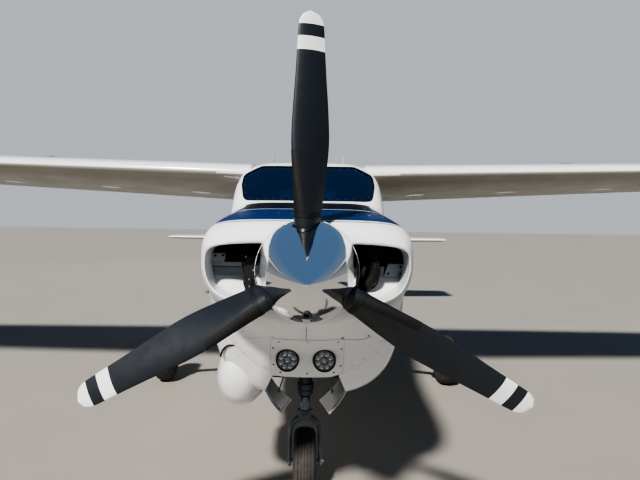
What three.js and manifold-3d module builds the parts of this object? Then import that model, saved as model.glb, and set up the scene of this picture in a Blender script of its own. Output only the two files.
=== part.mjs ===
// Single-engine high-wing aircraft on retractable tricycle gear, parked with its gear down.
// Millimetres, +Z up, nose towards -Y, +X on the left of someone sitting in it.
// The origin is on the ground, under the middle of the length.

import * as THREE from 'three';
import { mergeVertices } from 'three/addons/utils/BufferGeometryUtils.js';
import Module from 'manifold-3d';

const wasm = await Module();
wasm.setup();

// Driving dimensions
const overallLength = 8590;
const overallSpan = 11200;
const overallHeight = 2950;
const propRadius = 1018;
const spinnerReach = 360;
const spinnerRadius = 210;
const hubHeight = 1330;
const bladeCount = 3;

const skin = 12;
const cabinWall = 40;
const glassThick = 8;
const seam = 0.4;
const moveGap = 6;
// A swept hinge shifts the trailing edge sideways as a flap or aileron turns, so its ends have more room.
const wingEndGap = 12;
const ringSides = 28;

const noseBowlFront = 110;
const noseBowlBack = 450;
const firewallAt = 1070;
const cabinFront = 1400;
const cabinBack = 4300;
const tailEnd = 7760;
const cowlSplitZ = 1215;
const sillZ = 1240;
const floorZ = 720;

const mainTrack = 2640;
const mainAxleAt = 2820;
const mainTyre = { radius: 222.5, width: 160, rimRadius: 84 };
const noseAxleAt = 870;
const noseTyre = { radius: 180.5, width: 126, rimRadius: 68 };
const steerAt = 835;

const wingRootX = 430;
const wingTipX = overallSpan / 2;
const propPlaneY = -overallLength / 2 + spinnerReach;

// Distances along the aircraft are written as millimetres aft of the propeller's plane.
const aft = (d) => propPlaneY + d;
const degrees = (angle) => angle * Math.PI / 180;

// Fuselage sections. Columns: aft, half width, height of the widest line, top, bottom,
// power of the upper curve, power of the lower curve.
const stations = [
  [110, 385, 1335, 1500, 1100, 3.2, 2.0],
  [150, 430, 1340, 1526, 1070, 3.6, 2.0],
  [220, 458, 1345, 1543, 1025, 4.0, 2.0],
  [330, 470, 1348, 1555, 965, 4.2, 2.0],
  [440, 478, 1345, 1565, 785, 4.4, 2.1],
  [560, 485, 1330, 1574, 664, 4.7, 3.1],
  [800, 495, 1290, 1592, 632, 5.2, 4.2],
  [1070, 505, 1260, 1612, 590, 5.6, 4.4],
  [1420, 530, 1250, 1650, 572, 5.7, 4.3],
  [1600, 545, 1260, 1800, 566, 5.6, 4.2],
  [1780, 555, 1270, 1940, 563, 5.4, 4.1],
  [2100, 562, 1275, 1985, 562, 5.2, 4.0],
  [2700, 562, 1275, 1990, 568, 5.2, 3.9],
  [3200, 545, 1270, 1975, 595, 4.8, 3.6],
  [3500, 520, 1270, 1930, 625, 4.0, 3.4],
  [3900, 475, 1265, 1810, 690, 3.2, 3.1],
  [4300, 425, 1260, 1700, 765, 2.7, 2.9],
  [5200, 310, 1250, 1600, 905, 2.4, 2.5],
  [6200, 205, 1245, 1500, 1030, 2.2, 2.3],
  [7200, 110, 1235, 1385, 1100, 2.1, 2.1],
  [7760, 42, 1225, 1290, 1150, 2.0, 2.0],
];
const stationColumns = ['aft', 'half', 'widest', 'top', 'bottom', 'upperPower', 'lowerPower'];

// Wing sections. Columns: distance from the centre, leading edge aft, leading edge height, chord,
// nose-up angle, thickness over chord.
const wingSections = [
  [wingRootX, 1777, 1886, 1692, 5.6, 0.127],
  [3000, 1835, 1955, 1460, 4.2, 0.117],
  [5380, 1890, 2015, 1240, 2.8, 0.102],
  [wingTipX, 1990, 2031, 980, 2.6, 0.05],
];
// Tailplane sections, same columns.
const tailplaneZ = 1186;
const tailplaneSections = [
  [60, 6820, tailplaneZ, 1120, 0, 0.095],
  [2440, 7100, tailplaneZ, 780, 0, 0.085],
  [2540, 7160, tailplaneZ, 640, 0, 0.065],
];
// Fin sections. Columns: height, leading edge aft, chord, thickness over chord.
const finSections = [
  [1330, 5350, 2430, 0.035],
  [1560, 6150, 1670, 0.062],
  [1720, 6480, 1380, 0.08],
  [2880, 7470, 765, 0.085],
  [overallHeight, 7640, 540, 0.05],
];

const group = new THREE.Group();

const paint = (color, roughness, metalness) => new THREE.MeshStandardMaterial({ color, roughness, metalness });
const finishes = {
  white: paint(0xeef1f3, 0.3, 0.0),
  blue: paint(0x1d3f6e, 0.3, 0.0),
  polished: paint(0xd9dde2, 0.06, 1.0),
  blade: paint(0x22262c, 0.5, 0.0),
  glass: paint(0x2a4666, 0.05, 0.0),
  grey: paint(0x6d7880, 0.5, 0.2),
  steel: paint(0x9aa0a6, 0.35, 0.9),
  iron: paint(0x4c4e50, 0.6, 0.6),
  rubber: paint(0x24211f, 0.9, 0.0),
  rim: paint(0xdfe2e4, 0.4, 0.1),
  trim: paint(0x2b2e33, 0.8, 0.0),
  seat: paint(0x6f6558, 0.85, 0.0),
  lamp: paint(0xb9c2c8, 0.1, 0.3),
};

// Solids, cuts and joins
function solid(geometry) {
  geometry.deleteAttribute('normal');
  geometry.deleteAttribute('uv');
  const merged = mergeVertices(geometry, 1e-4);
  const places = merged.attributes.position;
  const faces = Array.from(merged.index.array);
  const corner = (k) => new THREE.Vector3().fromBufferAttribute(places, faces[k]);
  let volume = 0;
  for (let k = 0; k < faces.length; k += 3) {
    volume += corner(k).dot(corner(k + 1).cross(corner(k + 2)));
  }
  if (volume < 0) faces.reverse();
  return new wasm.Manifold(new wasm.Mesh({
    numProp: 3,
    vertProperties: new Float32Array(places.array),
    triVerts: new Uint32Array(faces),
  }));
}

function geometryOf(shape) {
  const mesh = shape.getMesh();
  const geometry = new THREE.BufferGeometry();
  geometry.setAttribute('position', new THREE.BufferAttribute(new Float32Array(mesh.vertProperties), 3));
  geometry.setIndex(new THREE.BufferAttribute(new Uint32Array(mesh.triVerts), 1));
  return geometry;
}

function add(name, shape, finish) {
  const geometry = shape.isBufferGeometry ? shape : geometryOf(shape);
  const mesh = new THREE.Mesh(geometry, finishes[finish]);
  mesh.name = name;
  group.add(mesh);
  return mesh;
}

const unite = (...shapes) => shapes.reduce((sum, shape) => sum.add(shape));
const largest = (shape) => shape.decompose().reduce((best, one) => (one.volume() > best.volume() ? one : best));

// A closed solid through rings of points. Point i of a ring faces point count - 1 - i.
function loft(rings) {
  const count = rings[0].length;
  const positions = rings.flat().flatMap((p) => [p.x, p.y, p.z]);
  const faces = [];
  for (let r = 0; r + 1 < rings.length; r++) {
    for (let i = 0; i < count; i++) {
      const a = r * count + i;
      const b = r * count + (i + 1) % count;
      faces.push(a, b, b + count, a, b + count, a + count);
    }
  }
  const last = (rings.length - 1) * count;
  for (let i = 0; i + 1 < count / 2; i++) {
    const j = count - 1 - i;
    faces.push(i, j, j - 1, i, j - 1, i + 1);
    faces.push(last + i, last + i + 1, last + j - 1, last + i, last + j - 1, last + j);
  }
  const geometry = new THREE.BufferGeometry();
  geometry.setAttribute('position', new THREE.BufferAttribute(new Float32Array(positions), 3));
  geometry.setIndex(faces);
  return solid(geometry);
}

function box(x0, x1, d0, d1, z0, z1) {
  const geometry = new THREE.BoxGeometry(x1 - x0, d1 - d0, z1 - z0);
  geometry.translate((x0 + x1) / 2, aft((d0 + d1) / 2), (z0 + z1) / 2);
  return solid(geometry);
}

// A round bar between two points, with a radius at each end.
function bar(from, to, radiusFrom, radiusTo = radiusFrom, sides = 16) {
  const start = new THREE.Vector3(...from);
  const end = new THREE.Vector3(...to);
  const geometry = new THREE.CylinderGeometry(radiusTo, radiusFrom, start.distanceTo(end), sides);
  const along = end.clone().sub(start).normalize();
  geometry.applyQuaternion(new THREE.Quaternion().setFromUnitVectors(new THREE.Vector3(0, 1, 0), along));
  geometry.translate(...start.add(end).multiplyScalar(0.5).toArray());
  return solid(geometry);
}

// A prism seen from the side, corners as [aft, height], between two values of x.
function sidePrism(corners, x0, x1) {
  const shape = new THREE.Shape(corners.map(([d, z]) => new THREE.Vector2(aft(d), z)));
  const geometry = new THREE.ExtrudeGeometry(shape, { depth: x1 - x0, bevelEnabled: false });
  geometry.rotateY(Math.PI / 2).rotateX(Math.PI / 2);
  geometry.translate(x0, 0, 0);
  return solid(geometry);
}

// A prism seen from the front, corners as [x, height], between two distances aft.
function frontPrism(corners, d0, d1) {
  const shape = new THREE.Shape(corners.map(([x, z]) => new THREE.Vector2(x, z)));
  const geometry = new THREE.ExtrudeGeometry(shape, { depth: d1 - d0, bevelEnabled: false });
  geometry.rotateX(Math.PI / 2);
  geometry.translate(0, aft(d1), 0);
  return solid(geometry);
}

// The row of a table at a value of its first column, mixed from the rows on both sides.
function rowAt(table, value) {
  const next = Math.max(1, table.findIndex((row) => row[0] >= value));
  const [low, high] = [table[next - 1], table[next]];
  const share = (value - low[0]) / (high[0] - low[0]);
  return low.map((number, i) => number + (high[i] - number) * share);
}

// Fuselage skin
const stationAt = (d) => Object.fromEntries(rowAt(stations, d).map((value, i) => [stationColumns[i], value]));

function curvePoint(turn, power) {
  const across = Math.cos(turn);
  const up = Math.sin(turn);
  return [Math.sign(across) * Math.abs(across) ** (2 / power), Math.sign(up) * Math.abs(up) ** (2 / power)];
}

function fuselageRing(d, inset) {
  const s = stationAt(d);
  return Array.from({ length: ringSides }, (_, i) => {
    const turn = (i + 0.5) / ringSides * 2 * Math.PI;
    const upper = turn < Math.PI;
    const [across, up] = curvePoint(turn, upper ? s.upperPower : s.lowerPower);
    const rise = (upper ? s.top - s.widest : s.widest - s.bottom) - inset;
    return new THREE.Vector3((s.half - inset) * across, aft(d), s.widest + rise * up);
  });
}

function fuselage(from, to, inset = 0) {
  const between = stations.map((row) => row[0]).filter((d) => d > from + 5 && d < to - 5);
  return loft([from, ...between, to].map((d) => fuselageRing(d, inset)));
}

// A length of hollow skin, open at both ends.
const band = (from, to, thickness) => fuselage(from, to).subtract(fuselage(from - 20, to + 20, thickness));

// Propeller: spinner, hub and blades turn together about the thrust line
const spinnerBack = 70;
const spinnerSkin = 6;
const spinnerSides = 28;
const hubRadius = 92;
const hubBack = 98;
const backPlateRadius = 200;
const barrelRadius = 56;
const barrelReach = 152;
const shankRadius = 47;
const shaftRadius = 38;
const shaftBore = 39;
const shaftBack = 420;
const bladeHole = { from: 100, to: 260, spare: 6 };
const bladeSocket = { from: 110, to: barrelReach + 20 };
const bladeShank = { from: 112, to: 172 };

// Spinner outline. Columns: aft, radius.
const spinnerOutline = [
  [-spinnerReach, 0], [-342, 22], [-300, 58], [-230, 104], [-150, 144], [-60, 180], [20, 203],
  [spinnerBack, spinnerRadius],
];
// Blade sections. Columns: radius, chord, thickness, angle to the propeller's plane.
const bladeSections = [
  [165, 132, 76, 48],
  [270, 146, 60, 43],
  [360, 157, 44, 37],
  [500, 168, 27, 29],
  [620, 154, 20, 24],
  [760, 130, 15, 20],
  [880, 113, 11, 17],
  [965, 102, 8, 15],
  [1002, 70, 6, 14],
  [propRadius, 24, 4, 14],
];

function turned(outline, sides) {
  const points = outline.map(([d, radius]) => new THREE.Vector2(radius, d));
  const geometry = new THREE.LatheGeometry(points, sides);
  geometry.translate(0, propPlaneY, hubHeight);
  return solid(geometry);
}

// Around the thrust line from straight up, in the propeller's plane
const bladeTurns = Array.from({ length: bladeCount }, (_, i) => i * 2 * Math.PI / bladeCount);
function onBlade(turn, radius, d) {
  return [radius * Math.sin(turn), aft(d), hubHeight + radius * Math.cos(turn)];
}

// Airfoils, in chord units: half the thickness, the rise of the middle line, and the outline,
// trailing edge first, upper side out and lower side back.
const foilSides = 20;
const wingCamber = 0.018;
const foilHalf = (thickness, share) => 5 * thickness * (0.2969 * Math.sqrt(share) - 0.126 * share
  - 0.3516 * share ** 2 + 0.2843 * share ** 3 - 0.1036 * share ** 4);
const foilRise = (camber, share) => 4 * camber * share * (1 - share);
function foilOutline(thickness, camber) {
  return Array.from({ length: foilSides }, (_, i) => {
    const turn = (i + 0.5) / foilSides * 2 * Math.PI;
    const share = (1 + Math.cos(turn)) / 2;
    const half = foilHalf(thickness, share) + 0.0012;
    return [share, foilRise(camber, share) + (turn < Math.PI ? half : -half)];
  });
}

function spinner() {
  const everySecond = spinnerOutline.filter((_, i) => i % 2 === 0 || i > 5);
  const inner = everySecond.map(([d, radius]) => [d + spinnerSkin, Math.max(0, radius - spinnerSkin)]);
  const openBack = spinnerBack + 20;
  const shell = turned([...spinnerOutline, [spinnerBack, 0]], spinnerSides)
    .subtract(turned([...inner, [openBack, spinnerRadius - spinnerSkin], [openBack, 0]], spinnerSides));
  const [, ...root] = bladeSections[0];
  return bladeTurns.reduce((shape, turn) => shape.subtract(loft([bladeHole.from, bladeHole.to]
    .map((radius) => bladeRing(turn, [radius, ...root], bladeHole.spare)))), shell);
}

function propellerHub() {
  const centre = turned([[-90, 0], [-90, 60], [-60, hubRadius], [60, hubRadius], [60, backPlateRadius],
    [spinnerBack, backPlateRadius], [spinnerBack, hubRadius], [hubBack, hubRadius],
    [hubBack, shaftRadius], [shaftBack, shaftRadius], [shaftBack, 0]], 24);
  return bladeTurns.reduce((shape, turn) => shape
    .add(bar(onBlade(turn, 40, 0), onBlade(turn, barrelReach, 0), barrelRadius))
    .subtract(bar(onBlade(turn, bladeSocket.from, 0), onBlade(turn, bladeSocket.to, 0), shankRadius + seam)), centre);
}

// One section of a blade, grown by spare all round. The leading edge goes first: anticlockwise as
// seen from ahead, camber facing forwards.
const bladeCamber = 0.03;
const bladeLead = 0.45;
function bladeRing(turn, [radius, narrow, thin, pitch], spare = 0) {
  const [chord, thickness] = [narrow + 2 * spare, thin + 2 * spare];
  const out = new THREE.Vector3(Math.sin(turn), 0, Math.cos(turn));
  const ahead = new THREE.Vector3(-Math.cos(turn), 0, Math.sin(turn));
  const forwards = new THREE.Vector3(0, -1, 0);
  const lead = ahead.clone().multiplyScalar(Math.cos(degrees(pitch)))
    .addScaledVector(forwards, Math.sin(degrees(pitch)));
  const face = forwards.clone().multiplyScalar(Math.cos(degrees(pitch)))
    .addScaledVector(ahead, -Math.sin(degrees(pitch)));
  return foilOutline(thickness / chord, bladeCamber).map(([along, up]) => new THREE.Vector3(0, propPlaneY, hubHeight)
    .addScaledVector(out, radius).addScaledVector(lead, (bladeLead - along) * chord + spare * (1 - 2 * bladeLead))
    .addScaledVector(face, up * chord));
}

function blade(turn) {
  const shank = bar(onBlade(turn, bladeShank.from, 0), onBlade(turn, bladeShank.to, 0), shankRadius);
  return loft(bladeSections.map((row) => bladeRing(turn, row))).add(shank);
}

add('spinner', spinner(), 'polished');
add('propeller_hub', propellerHub(), 'steel');
bladeTurns.forEach((turn, i) => add(`blade_${i + 1}`, blade(turn), 'blade'));

// Cowling
const inlet = { inner: 205, outer: 425, low: 1170, high: 1440, corner: 60, depth: 170 };
const shaftHoleRadius = 105;
const lampAt = { x: 85.5, z: 888, radius: 53, front: 358, back: 436 };
// The well in the belly is narrow at its front end, ahead of the doors.
const wellHalf = 214;
const wellNarrowHalf = 160;
const wellWidensAt = 555;
const wellBack = 1040;
const wellTop = 800;
const wellTopAhead = 786;

function roundedRectangle(x0, x1, z0, z1, corner) {
  const steps = 4;
  const centres = [[x1 - corner, z1 - corner, 0], [x0 + corner, z1 - corner, 1], [x0 + corner, z0 + corner, 2],
    [x1 - corner, z0 + corner, 3]];
  return centres.flatMap(([x, z, quarter]) => Array.from({ length: steps + 1 }, (_, i) => {
    const turn = (quarter + i / steps) * Math.PI / 2;
    return [x + corner * Math.cos(turn), z + corner * Math.sin(turn)];
  }));
}

function noseBowl() {
  const closed = fuselage(noseBowlFront, noseBowlBack).subtract(fuselage(noseBowlFront + skin, noseBowlBack + 20, skin));
  const shaftHole = bar([0, aft(noseBowlFront - 30), hubHeight], [0, aft(noseBowlFront + 60), hubHeight], shaftHoleRadius);
  const inlets = [-1, 1].map((side) => {
    const [x0, x1] = [side * inlet.inner, side * inlet.outer].sort((a, b) => a - b);
    const outline = roundedRectangle(x0, x1, inlet.low, inlet.high, inlet.corner);
    return frontPrism(outline, noseBowlFront - 10, noseBowlFront + inlet.depth);
  });
  const lamps = [-1, 1].map((side) => bar([side * lampAt.x, aft(lampAt.front - 78), lampAt.z],
    [side * lampAt.x, aft(noseBowlBack + 10), lampAt.z], lampAt.radius + seam));
  const well = box(-wellNarrowHalf, wellNarrowHalf, noseBowlBack - 12, noseBowlBack + 50, 600, wellTopAhead);
  return [shaftHole, ...inlets, ...lamps, well].reduce((shape, cut) => shape.subtract(cut), closed);
}

// A fairing over the exhaust, low on one side. Columns: aft, x, height, half width, half height.
const bulgeSections = [
  [500, -320, 800, 40, 50],
  [570, -336, 752, 92, 122],
  [680, -340, 722, 124, 164],
  [820, -338, 708, 136, 176],
  [1064, -338, 706, 136, 168],
];
function bulge() {
  return loft(bulgeSections.map(([d, x, z, halfWidth, halfHeight]) =>
    Array.from({ length: 20 }, (_, i) => {
      const turn = (i + 0.5) / 20 * 2 * Math.PI;
      return new THREE.Vector3(x + halfWidth * Math.cos(turn), aft(d), z + halfHeight * Math.sin(turn));
    })));
}

const cowlBack = firewallAt - seam;
function lowerCowl() {
  const shell = band(noseBowlBack + seam, cowlBack, skin);
  const inner = fuselage(noseBowlBack - 20, cowlBack + 20, skin);
  const pocket = bulge().subtract(inner);
  return shell.add(pocket)
    .intersect(box(-700, 700, noseBowlBack, firewallAt, 300, cowlSplitZ))
    .subtract(box(-wellNarrowHalf, wellNarrowHalf, noseBowlBack - 5, wellWidensAt + 5, 400, wellTop))
    .subtract(box(-wellHalf, wellHalf, wellWidensAt, wellBack, 400, wellTop));
}

function upperCowl() {
  return band(noseBowlBack + seam, cowlBack, skin)
    .intersect(box(-700, 700, noseBowlBack, firewallAt, cowlSplitZ + seam, 1800));
}

// Engine: crankcase with a bore for the shaft, a bank of cylinders on each side, sump and mount.
// Columns: half width, front, back, low, top.
const engineFront = 270;
const engineBack = 1000;
const firewallThick = 12;
const firewallFront = firewallAt - 13 - firewallThick;
const engineParts = {
  crankcase: [150, engineFront, engineBack, 1045, 1490],
  frontCylinders: [395, 320, 920, 1185, 1415],
  rearCylinders: [420, 480, engineBack, 1132, 1450],
  sump: [285, 490, 785, 880, 1055],
  rearSump: [250, 880, engineBack, 950, 1120],
  mount: [120, engineBack - 5, firewallFront - seam, 1060, 1300],
};
function engineBlock() {
  const parts = Object.values(engineParts).map(([half, front, back, low, top]) => box(-half, half, front, back, low, top));
  return unite(...parts)
    .subtract(bar([0, aft(engineFront - 10), hubHeight], [0, aft(shaftBack + 10), hubHeight], shaftBore));
}

function lampPanel() {
  const lamps = [-1, 1].map((side) => bar([side * lampAt.x, aft(lampAt.front), lampAt.z],
    [side * lampAt.x, aft(lampAt.back), lampAt.z], lampAt.radius));
  const bridge = box(-lampAt.x, lampAt.x, lampAt.back - 20, lampAt.back - 8, lampAt.z - 18, lampAt.z + 18);
  return unite(bridge, ...lamps);
}

add('nose_bowl', noseBowl(), 'white');
add('upper_cowl', upperCowl(), 'blue');
add('lower_cowl', lowerCowl(), 'white');
add('engine_block', engineBlock(), 'iron');
add('landing_lamps', lampPanel(), 'lamp');
add('firewall', fuselage(firewallFront, firewallFront + firewallThick, skin + seam), 'steel');

// Cabin: front skin, lower and upper shells, floor, tail cone
const doorGap = { front: 7, rear: 12, top: 8, bottom: 8 };
// Side openings, corners as [aft, height].
const doorOutline = [[1500, 860], [2520, 860], [2540, 1000], [2540, 1722], [1745, 1722], [1500, 1480]];
const doorWindow = [[1640, 1300], [2440, 1300], [2440, 1660], [1800, 1660], [1640, 1500]];
const sideWindows = {
  middle: [[2660, 1300], [3140, 1300], [3140, 1660], [2660, 1670]],
  rear: [[3260, 1300], [3720, 1330], [3600, 1560], [3430, 1640], [3260, 1655]],
};
// Windshield and rear window outlines, corners as [x, height].
const windshieldOutline = [[-440, 1662], [440, 1662], [474, 1780], [470, 1856], [340, 1926], [-340, 1926], [-470, 1856],
  [-474, 1780]];
const rearWindowOutline = [[-300, 1745], [300, 1745], [330, 1800], [300, 1880], [-300, 1880], [-330, 1800]];
const windshieldSpan = [1380, 1800];
const rearWindowSpan = [3560, 4250];

// Moves each corner of an outline towards its middle, or away from it if the gap is negative.
function shrink(outline, gap) {
  const middle = outline.reduce(([a, b], [x, z]) => [a + x / outline.length, b + z / outline.length], [0, 0]);
  return outline.map(([x, z]) => [x - Math.sign(x - middle[0]) * gap, z - Math.sign(z - middle[1]) * gap]);
}

function doorBlank(side, shrunk) {
  const [near, far] = side > 0 ? [300, 700] : [-700, -300];
  const outline = shrunk
    ? doorOutline.map(([d, z]) => [d < 2000 ? d + doorGap.front : d - doorGap.rear,
      z < 1250 ? z + doorGap.bottom : z - doorGap.top])
    : doorOutline;
  return sidePrism(outline, near, far);
}

const sides = { right: -1, left: 1 };
const sideNames = Object.keys(sides);

function windowPrism(outline, side, gap = 0) {
  const [near, far] = side > 0 ? [300, 700] : [-700, -300];
  return sidePrism(gap ? shrink(outline, gap) : outline, near, far);
}

const cabinShell = () => sideNames.reduce((shape, name) => {
  const side = sides[name];
  const windows = Object.values(sideWindows).map((outline) => windowPrism(outline, side));
  return [doorBlank(side, false), ...windows].reduce((sum, cut) => sum.subtract(cut), shape);
}, band(cabinFront + seam, cabinBack, cabinWall)
  .subtract(frontPrism(windshieldOutline, ...windshieldSpan))
  .subtract(frontPrism(rearWindowOutline, ...rearWindowSpan)));

const glassIn = (cabinWall - glassThick) / 2;
const glassShell = fuselage(cabinFront + 5, cabinBack - 5, glassIn)
  .subtract(fuselage(cabinFront - 15, cabinBack + 15, glassIn + glassThick));

const cabinInside = fuselage(cabinFront - 20, cabinBack + 20, cabinWall + seam);
const everything = (low, high) => box(-900, 900, 0, 8600, low, high);
// Two blade aerials on the roof. Columns of the outline: distance aft of the front edge, height.
const aerialOutline = [[0, 0], [150, 0], [128, 75], [96, 130], [66, 130]];
const aerialAt = { x: 300, d: 2350, z: 1968 };
const aerials = [-1, 1].map((side) => sidePrism(aerialOutline.map(([d, z]) => [aerialAt.d + d, aerialAt.z + z]),
  side * aerialAt.x - 6, side * aerialAt.x + 6));
const shell = cabinShell();
add('cabin_lower', shell.intersect(everything(300, sillZ)), 'white');
add('cabin_upper', unite(shell.intersect(everything(sillZ + seam, 2600)), ...aerials), 'white');
add('front_fuselage', band(firewallAt, cabinFront, skin + 8)
  .subtract(box(-wellHalf, wellHalf, firewallAt - 5, 1110, 400, 700)), 'white');
add('cabin_floor', cabinInside.intersect(box(-700, 700, cabinFront + 5, 4000, floorZ, floorZ + 20)), 'trim');
add('windshield', glassShell.intersect(frontPrism(shrink(windshieldOutline, seam), ...windshieldSpan)), 'glass');
add('rear_window', glassShell.intersect(frontPrism(shrink(rearWindowOutline, seam), ...rearWindowSpan)), 'glass');
for (const name of sideNames) {
  const side = sides[name];
  for (const [place, outline] of Object.entries(sideWindows)) {
    add(`window_${place}_${name}`, glassShell.intersect(windowPrism(outline, side, seam)), 'glass');
  }
  const door = band(cabinFront + seam, cabinBack, cabinWall).intersect(doorBlank(side, true));
  add(`door_${name}`, door.subtract(windowPrism(doorWindow, side)), 'white');
  add(`door_glass_${name}`, glassShell.intersect(windowPrism(doorWindow, side, seam)), 'glass');
}

// Cabin fittings: panel with its two control wheels, and four places to sit
const panelAt = 1545;
const controlWheel = { x: 260, z: 1330, half: 120, tall: 25, reach: 205, thick: 20, columnRadius: 12 };
function instrumentPanel() {
  const plate = cabinInside.intersect(box(-700, 700, panelAt, panelAt + 25, 1130, 1610));
  const { x, z, half, tall, reach, thick, columnRadius } = controlWheel;
  const wheels = [-1, 1].map((side) => unite(
    bar([side * x, aft(panelAt + 20), z], [side * x, aft(panelAt + reach + 15), z], columnRadius, columnRadius, 10),
    box(side * x - half, side * x + half, panelAt + reach, panelAt + reach + thick, z - tall, z + tall)));
  return unite(plate, ...wheels);
}

// Seat outline from the side, as [distance behind the seat's front, height above the floor].
const seatOutline = [[0, 0], [60, 0], [90, 250], [400, 230], [430, 0], [480, 0], [530, 260], [640, 850], [560, 880],
  [430, 400], [0, 380]];
function seat(frontAt, x, width, scale) {
  const outline = seatOutline.map(([d, z]) => [frontAt + d * scale, floorZ + 20 + seam + z * scale]);
  return sidePrism(outline, x - width / 2, x + width / 2);
}

add('instrument_panel', instrumentPanel(), 'trim');
// Columns: front of the seat aft, x, width, size over that of the front seats.
const seats = {
  front_right: [1960, -215, 400, 1],
  front_left: [1960, 215, 400, 1],
  middle: [2700, 0, 780, 0.97],
  rear: [3330, 0, 440, 0.74],
};
for (const [place, row] of Object.entries(seats)) add(`seat_${place}`, seat(...row), 'seat');

// Flying surfaces
// A wing section as points: the chord runs aft and down by the nose-up angle.
function foilRing(x, leadAt, leadZ, chord, angle, outline) {
  const [flat, drop] = [Math.cos(degrees(angle)), Math.sin(degrees(angle))];
  return outline.map(([share, up]) => new THREE.Vector3(x, aft(leadAt + chord * (share * flat + up * drop)),
    leadZ + chord * (up * flat - share * drop)));
}

const flyingSurface = (sections, side, camber) => loft(sections.map(([x, leadAt, leadZ, chord, angle, thickness]) =>
  foilRing(side * x, leadAt, leadZ, chord, angle, foilOutline(thickness, camber))));

// The hollow ahead of a hinge line, in chord units, with the skin's thickness left on both sides.
const hollowShares = [0.5, 0.38, 0.24, 0.1];
function hollowOutline(thickness, chord, wall) {
  const half = hollowShares.map((share) => [share, foilHalf(thickness, share) - wall / chord]);
  return [...half, ...half.map(([share, up]) => [share, -up]).reverse()];
}

function foilPlace(sections, x, share, camber) {
  const [, leadAt, leadZ, chord, angle, thickness] = rowAt(sections, x);
  const slope = degrees(angle);
  const rise = foilRise(camber, share) * chord;
  return { d: leadAt + share * chord * Math.cos(slope) + rise * Math.sin(slope),
    z: leadZ - share * chord * Math.sin(slope) + rise * Math.cos(slope),
    half: chord * foilHalf(thickness, share) };
}

// Cuts a hinged surface out of a solid. The hinge is straight, between two points; radiusAt gives
// the radius of the surface's round nose at a share of the way along it.
const noseShares = [0, 0.12, 0.25, 0.6, 1];
const noseSides = 16;
// The round nose lies this far inside the skin of the surface ahead of it, and this far from its cove.
const noseInset = 1;
const noseGap = 10;
// Hinge pins at both ends: reach outside the end, reach inside it, and radius.
const hingePin = { fixed: [14, 40, 6], bore: [0, 42, 6.8] };
function hinged(whole, from, to, radiusAt, reach, tall, across, endGap = moveGap) {
  const start = new THREE.Vector3(...from);
  const end = new THREE.Vector3(...to);
  const gapShare = endGap / start.distanceTo(end);
  const along = (share) => start.clone().lerp(end, share);
  const block = (trim) => loft([along(trim), along(1 - trim)].map((p) =>
    [[0, tall], [0, -tall], [reach, -tall], [reach, tall]]
      .map(([behind, up]) => p.clone().add(new THREE.Vector3(across.x * up, behind, across.z * up)))));
  const first = new THREE.Vector3(0, 1, 0).projectOnPlane(end.clone().sub(start).normalize()).normalize();
  const second = first.clone().cross(end.clone().sub(start).normalize());
  const nose = (trim, spare) => loft(noseShares.map((value) => {
    const share = Math.min(1 - trim, Math.max(trim, value));
    const radius = radiusAt(share) + spare;
    return Array.from({ length: noseSides }, (_, i) => {
      const turn = (i + 0.5) / noseSides * 2 * Math.PI;
      return along(share).addScaledVector(first, radius * Math.cos(turn)).addScaledVector(second, radius * Math.sin(turn));
    });
  }));
  const pin = (outer, inner, radius) => {
    const reachShare = [-outer, inner].map((value) => value / start.distanceTo(end));
    const [out, into] = reachShare;
    return unite(bar(along(out).toArray(), along(into).toArray(), radius, radius, 8),
      bar(along(1 - into).toArray(), along(1 - out).toArray(), radius, radius, 8));
  };
  return {
    fixed: largest(whole.subtract(block(0)).subtract(nose(0, noseGap))).add(pin(...hingePin.fixed)),
    moving: largest(whole.intersect(block(gapShare)).add(nose(gapShare, 0))).subtract(pin(...hingePin.bore)),
  };
}

// Spanwise ends and hinge line of the flaps and ailerons, as distance from the centre and share of the chord.
const flap = { inner: 640, outer: 3145, share: 0.72 };
const aileron = { inner: 3185, outer: 5330, share: 0.76 };
const upwards = { x: 0, z: 1 };
const sidewards = { x: 1, z: 0 };

function wing(side) {
  let fixed = largest(flyingSurface(wingSections, side, wingCamber).subtract(fuselage(cabinFront, cabinBack, -seam)));
  const parts = {};
  for (const [name, surface] of Object.entries({ flap, aileron })) {
    const hingePoint = (x) => {
      const place = foilPlace(wingSections, x, surface.share, wingCamber);
      return [side * x, aft(place.d), place.z];
    };
    const radiusAt = (share) => foilPlace(wingSections, surface.inner + share * (surface.outer - surface.inner),
      surface.share, wingCamber).half - noseInset;
    const cut = hinged(fixed, hingePoint(surface.inner), hingePoint(surface.outer), radiusAt, 700, 200, upwards,
      wingEndGap);
    fixed = cut.fixed;
    parts[name] = cut.moving;
  }
  return { fixed, ...parts };
}
for (const name of sideNames) {
  const parts = wing(sides[name]);
  add(`wing_${name}`, parts.fixed, 'white');
  add(`flap_${name}`, parts.flap, 'white');
  add(`aileron_${name}`, parts.aileron, 'white');
}

// Tail
const tailCone = fuselage(cabinBack + seam, tailEnd)
  .subtract(fuselage(cabinBack - 20, 7200, skin));
add('tail_cone', tailCone, 'white');

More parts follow.
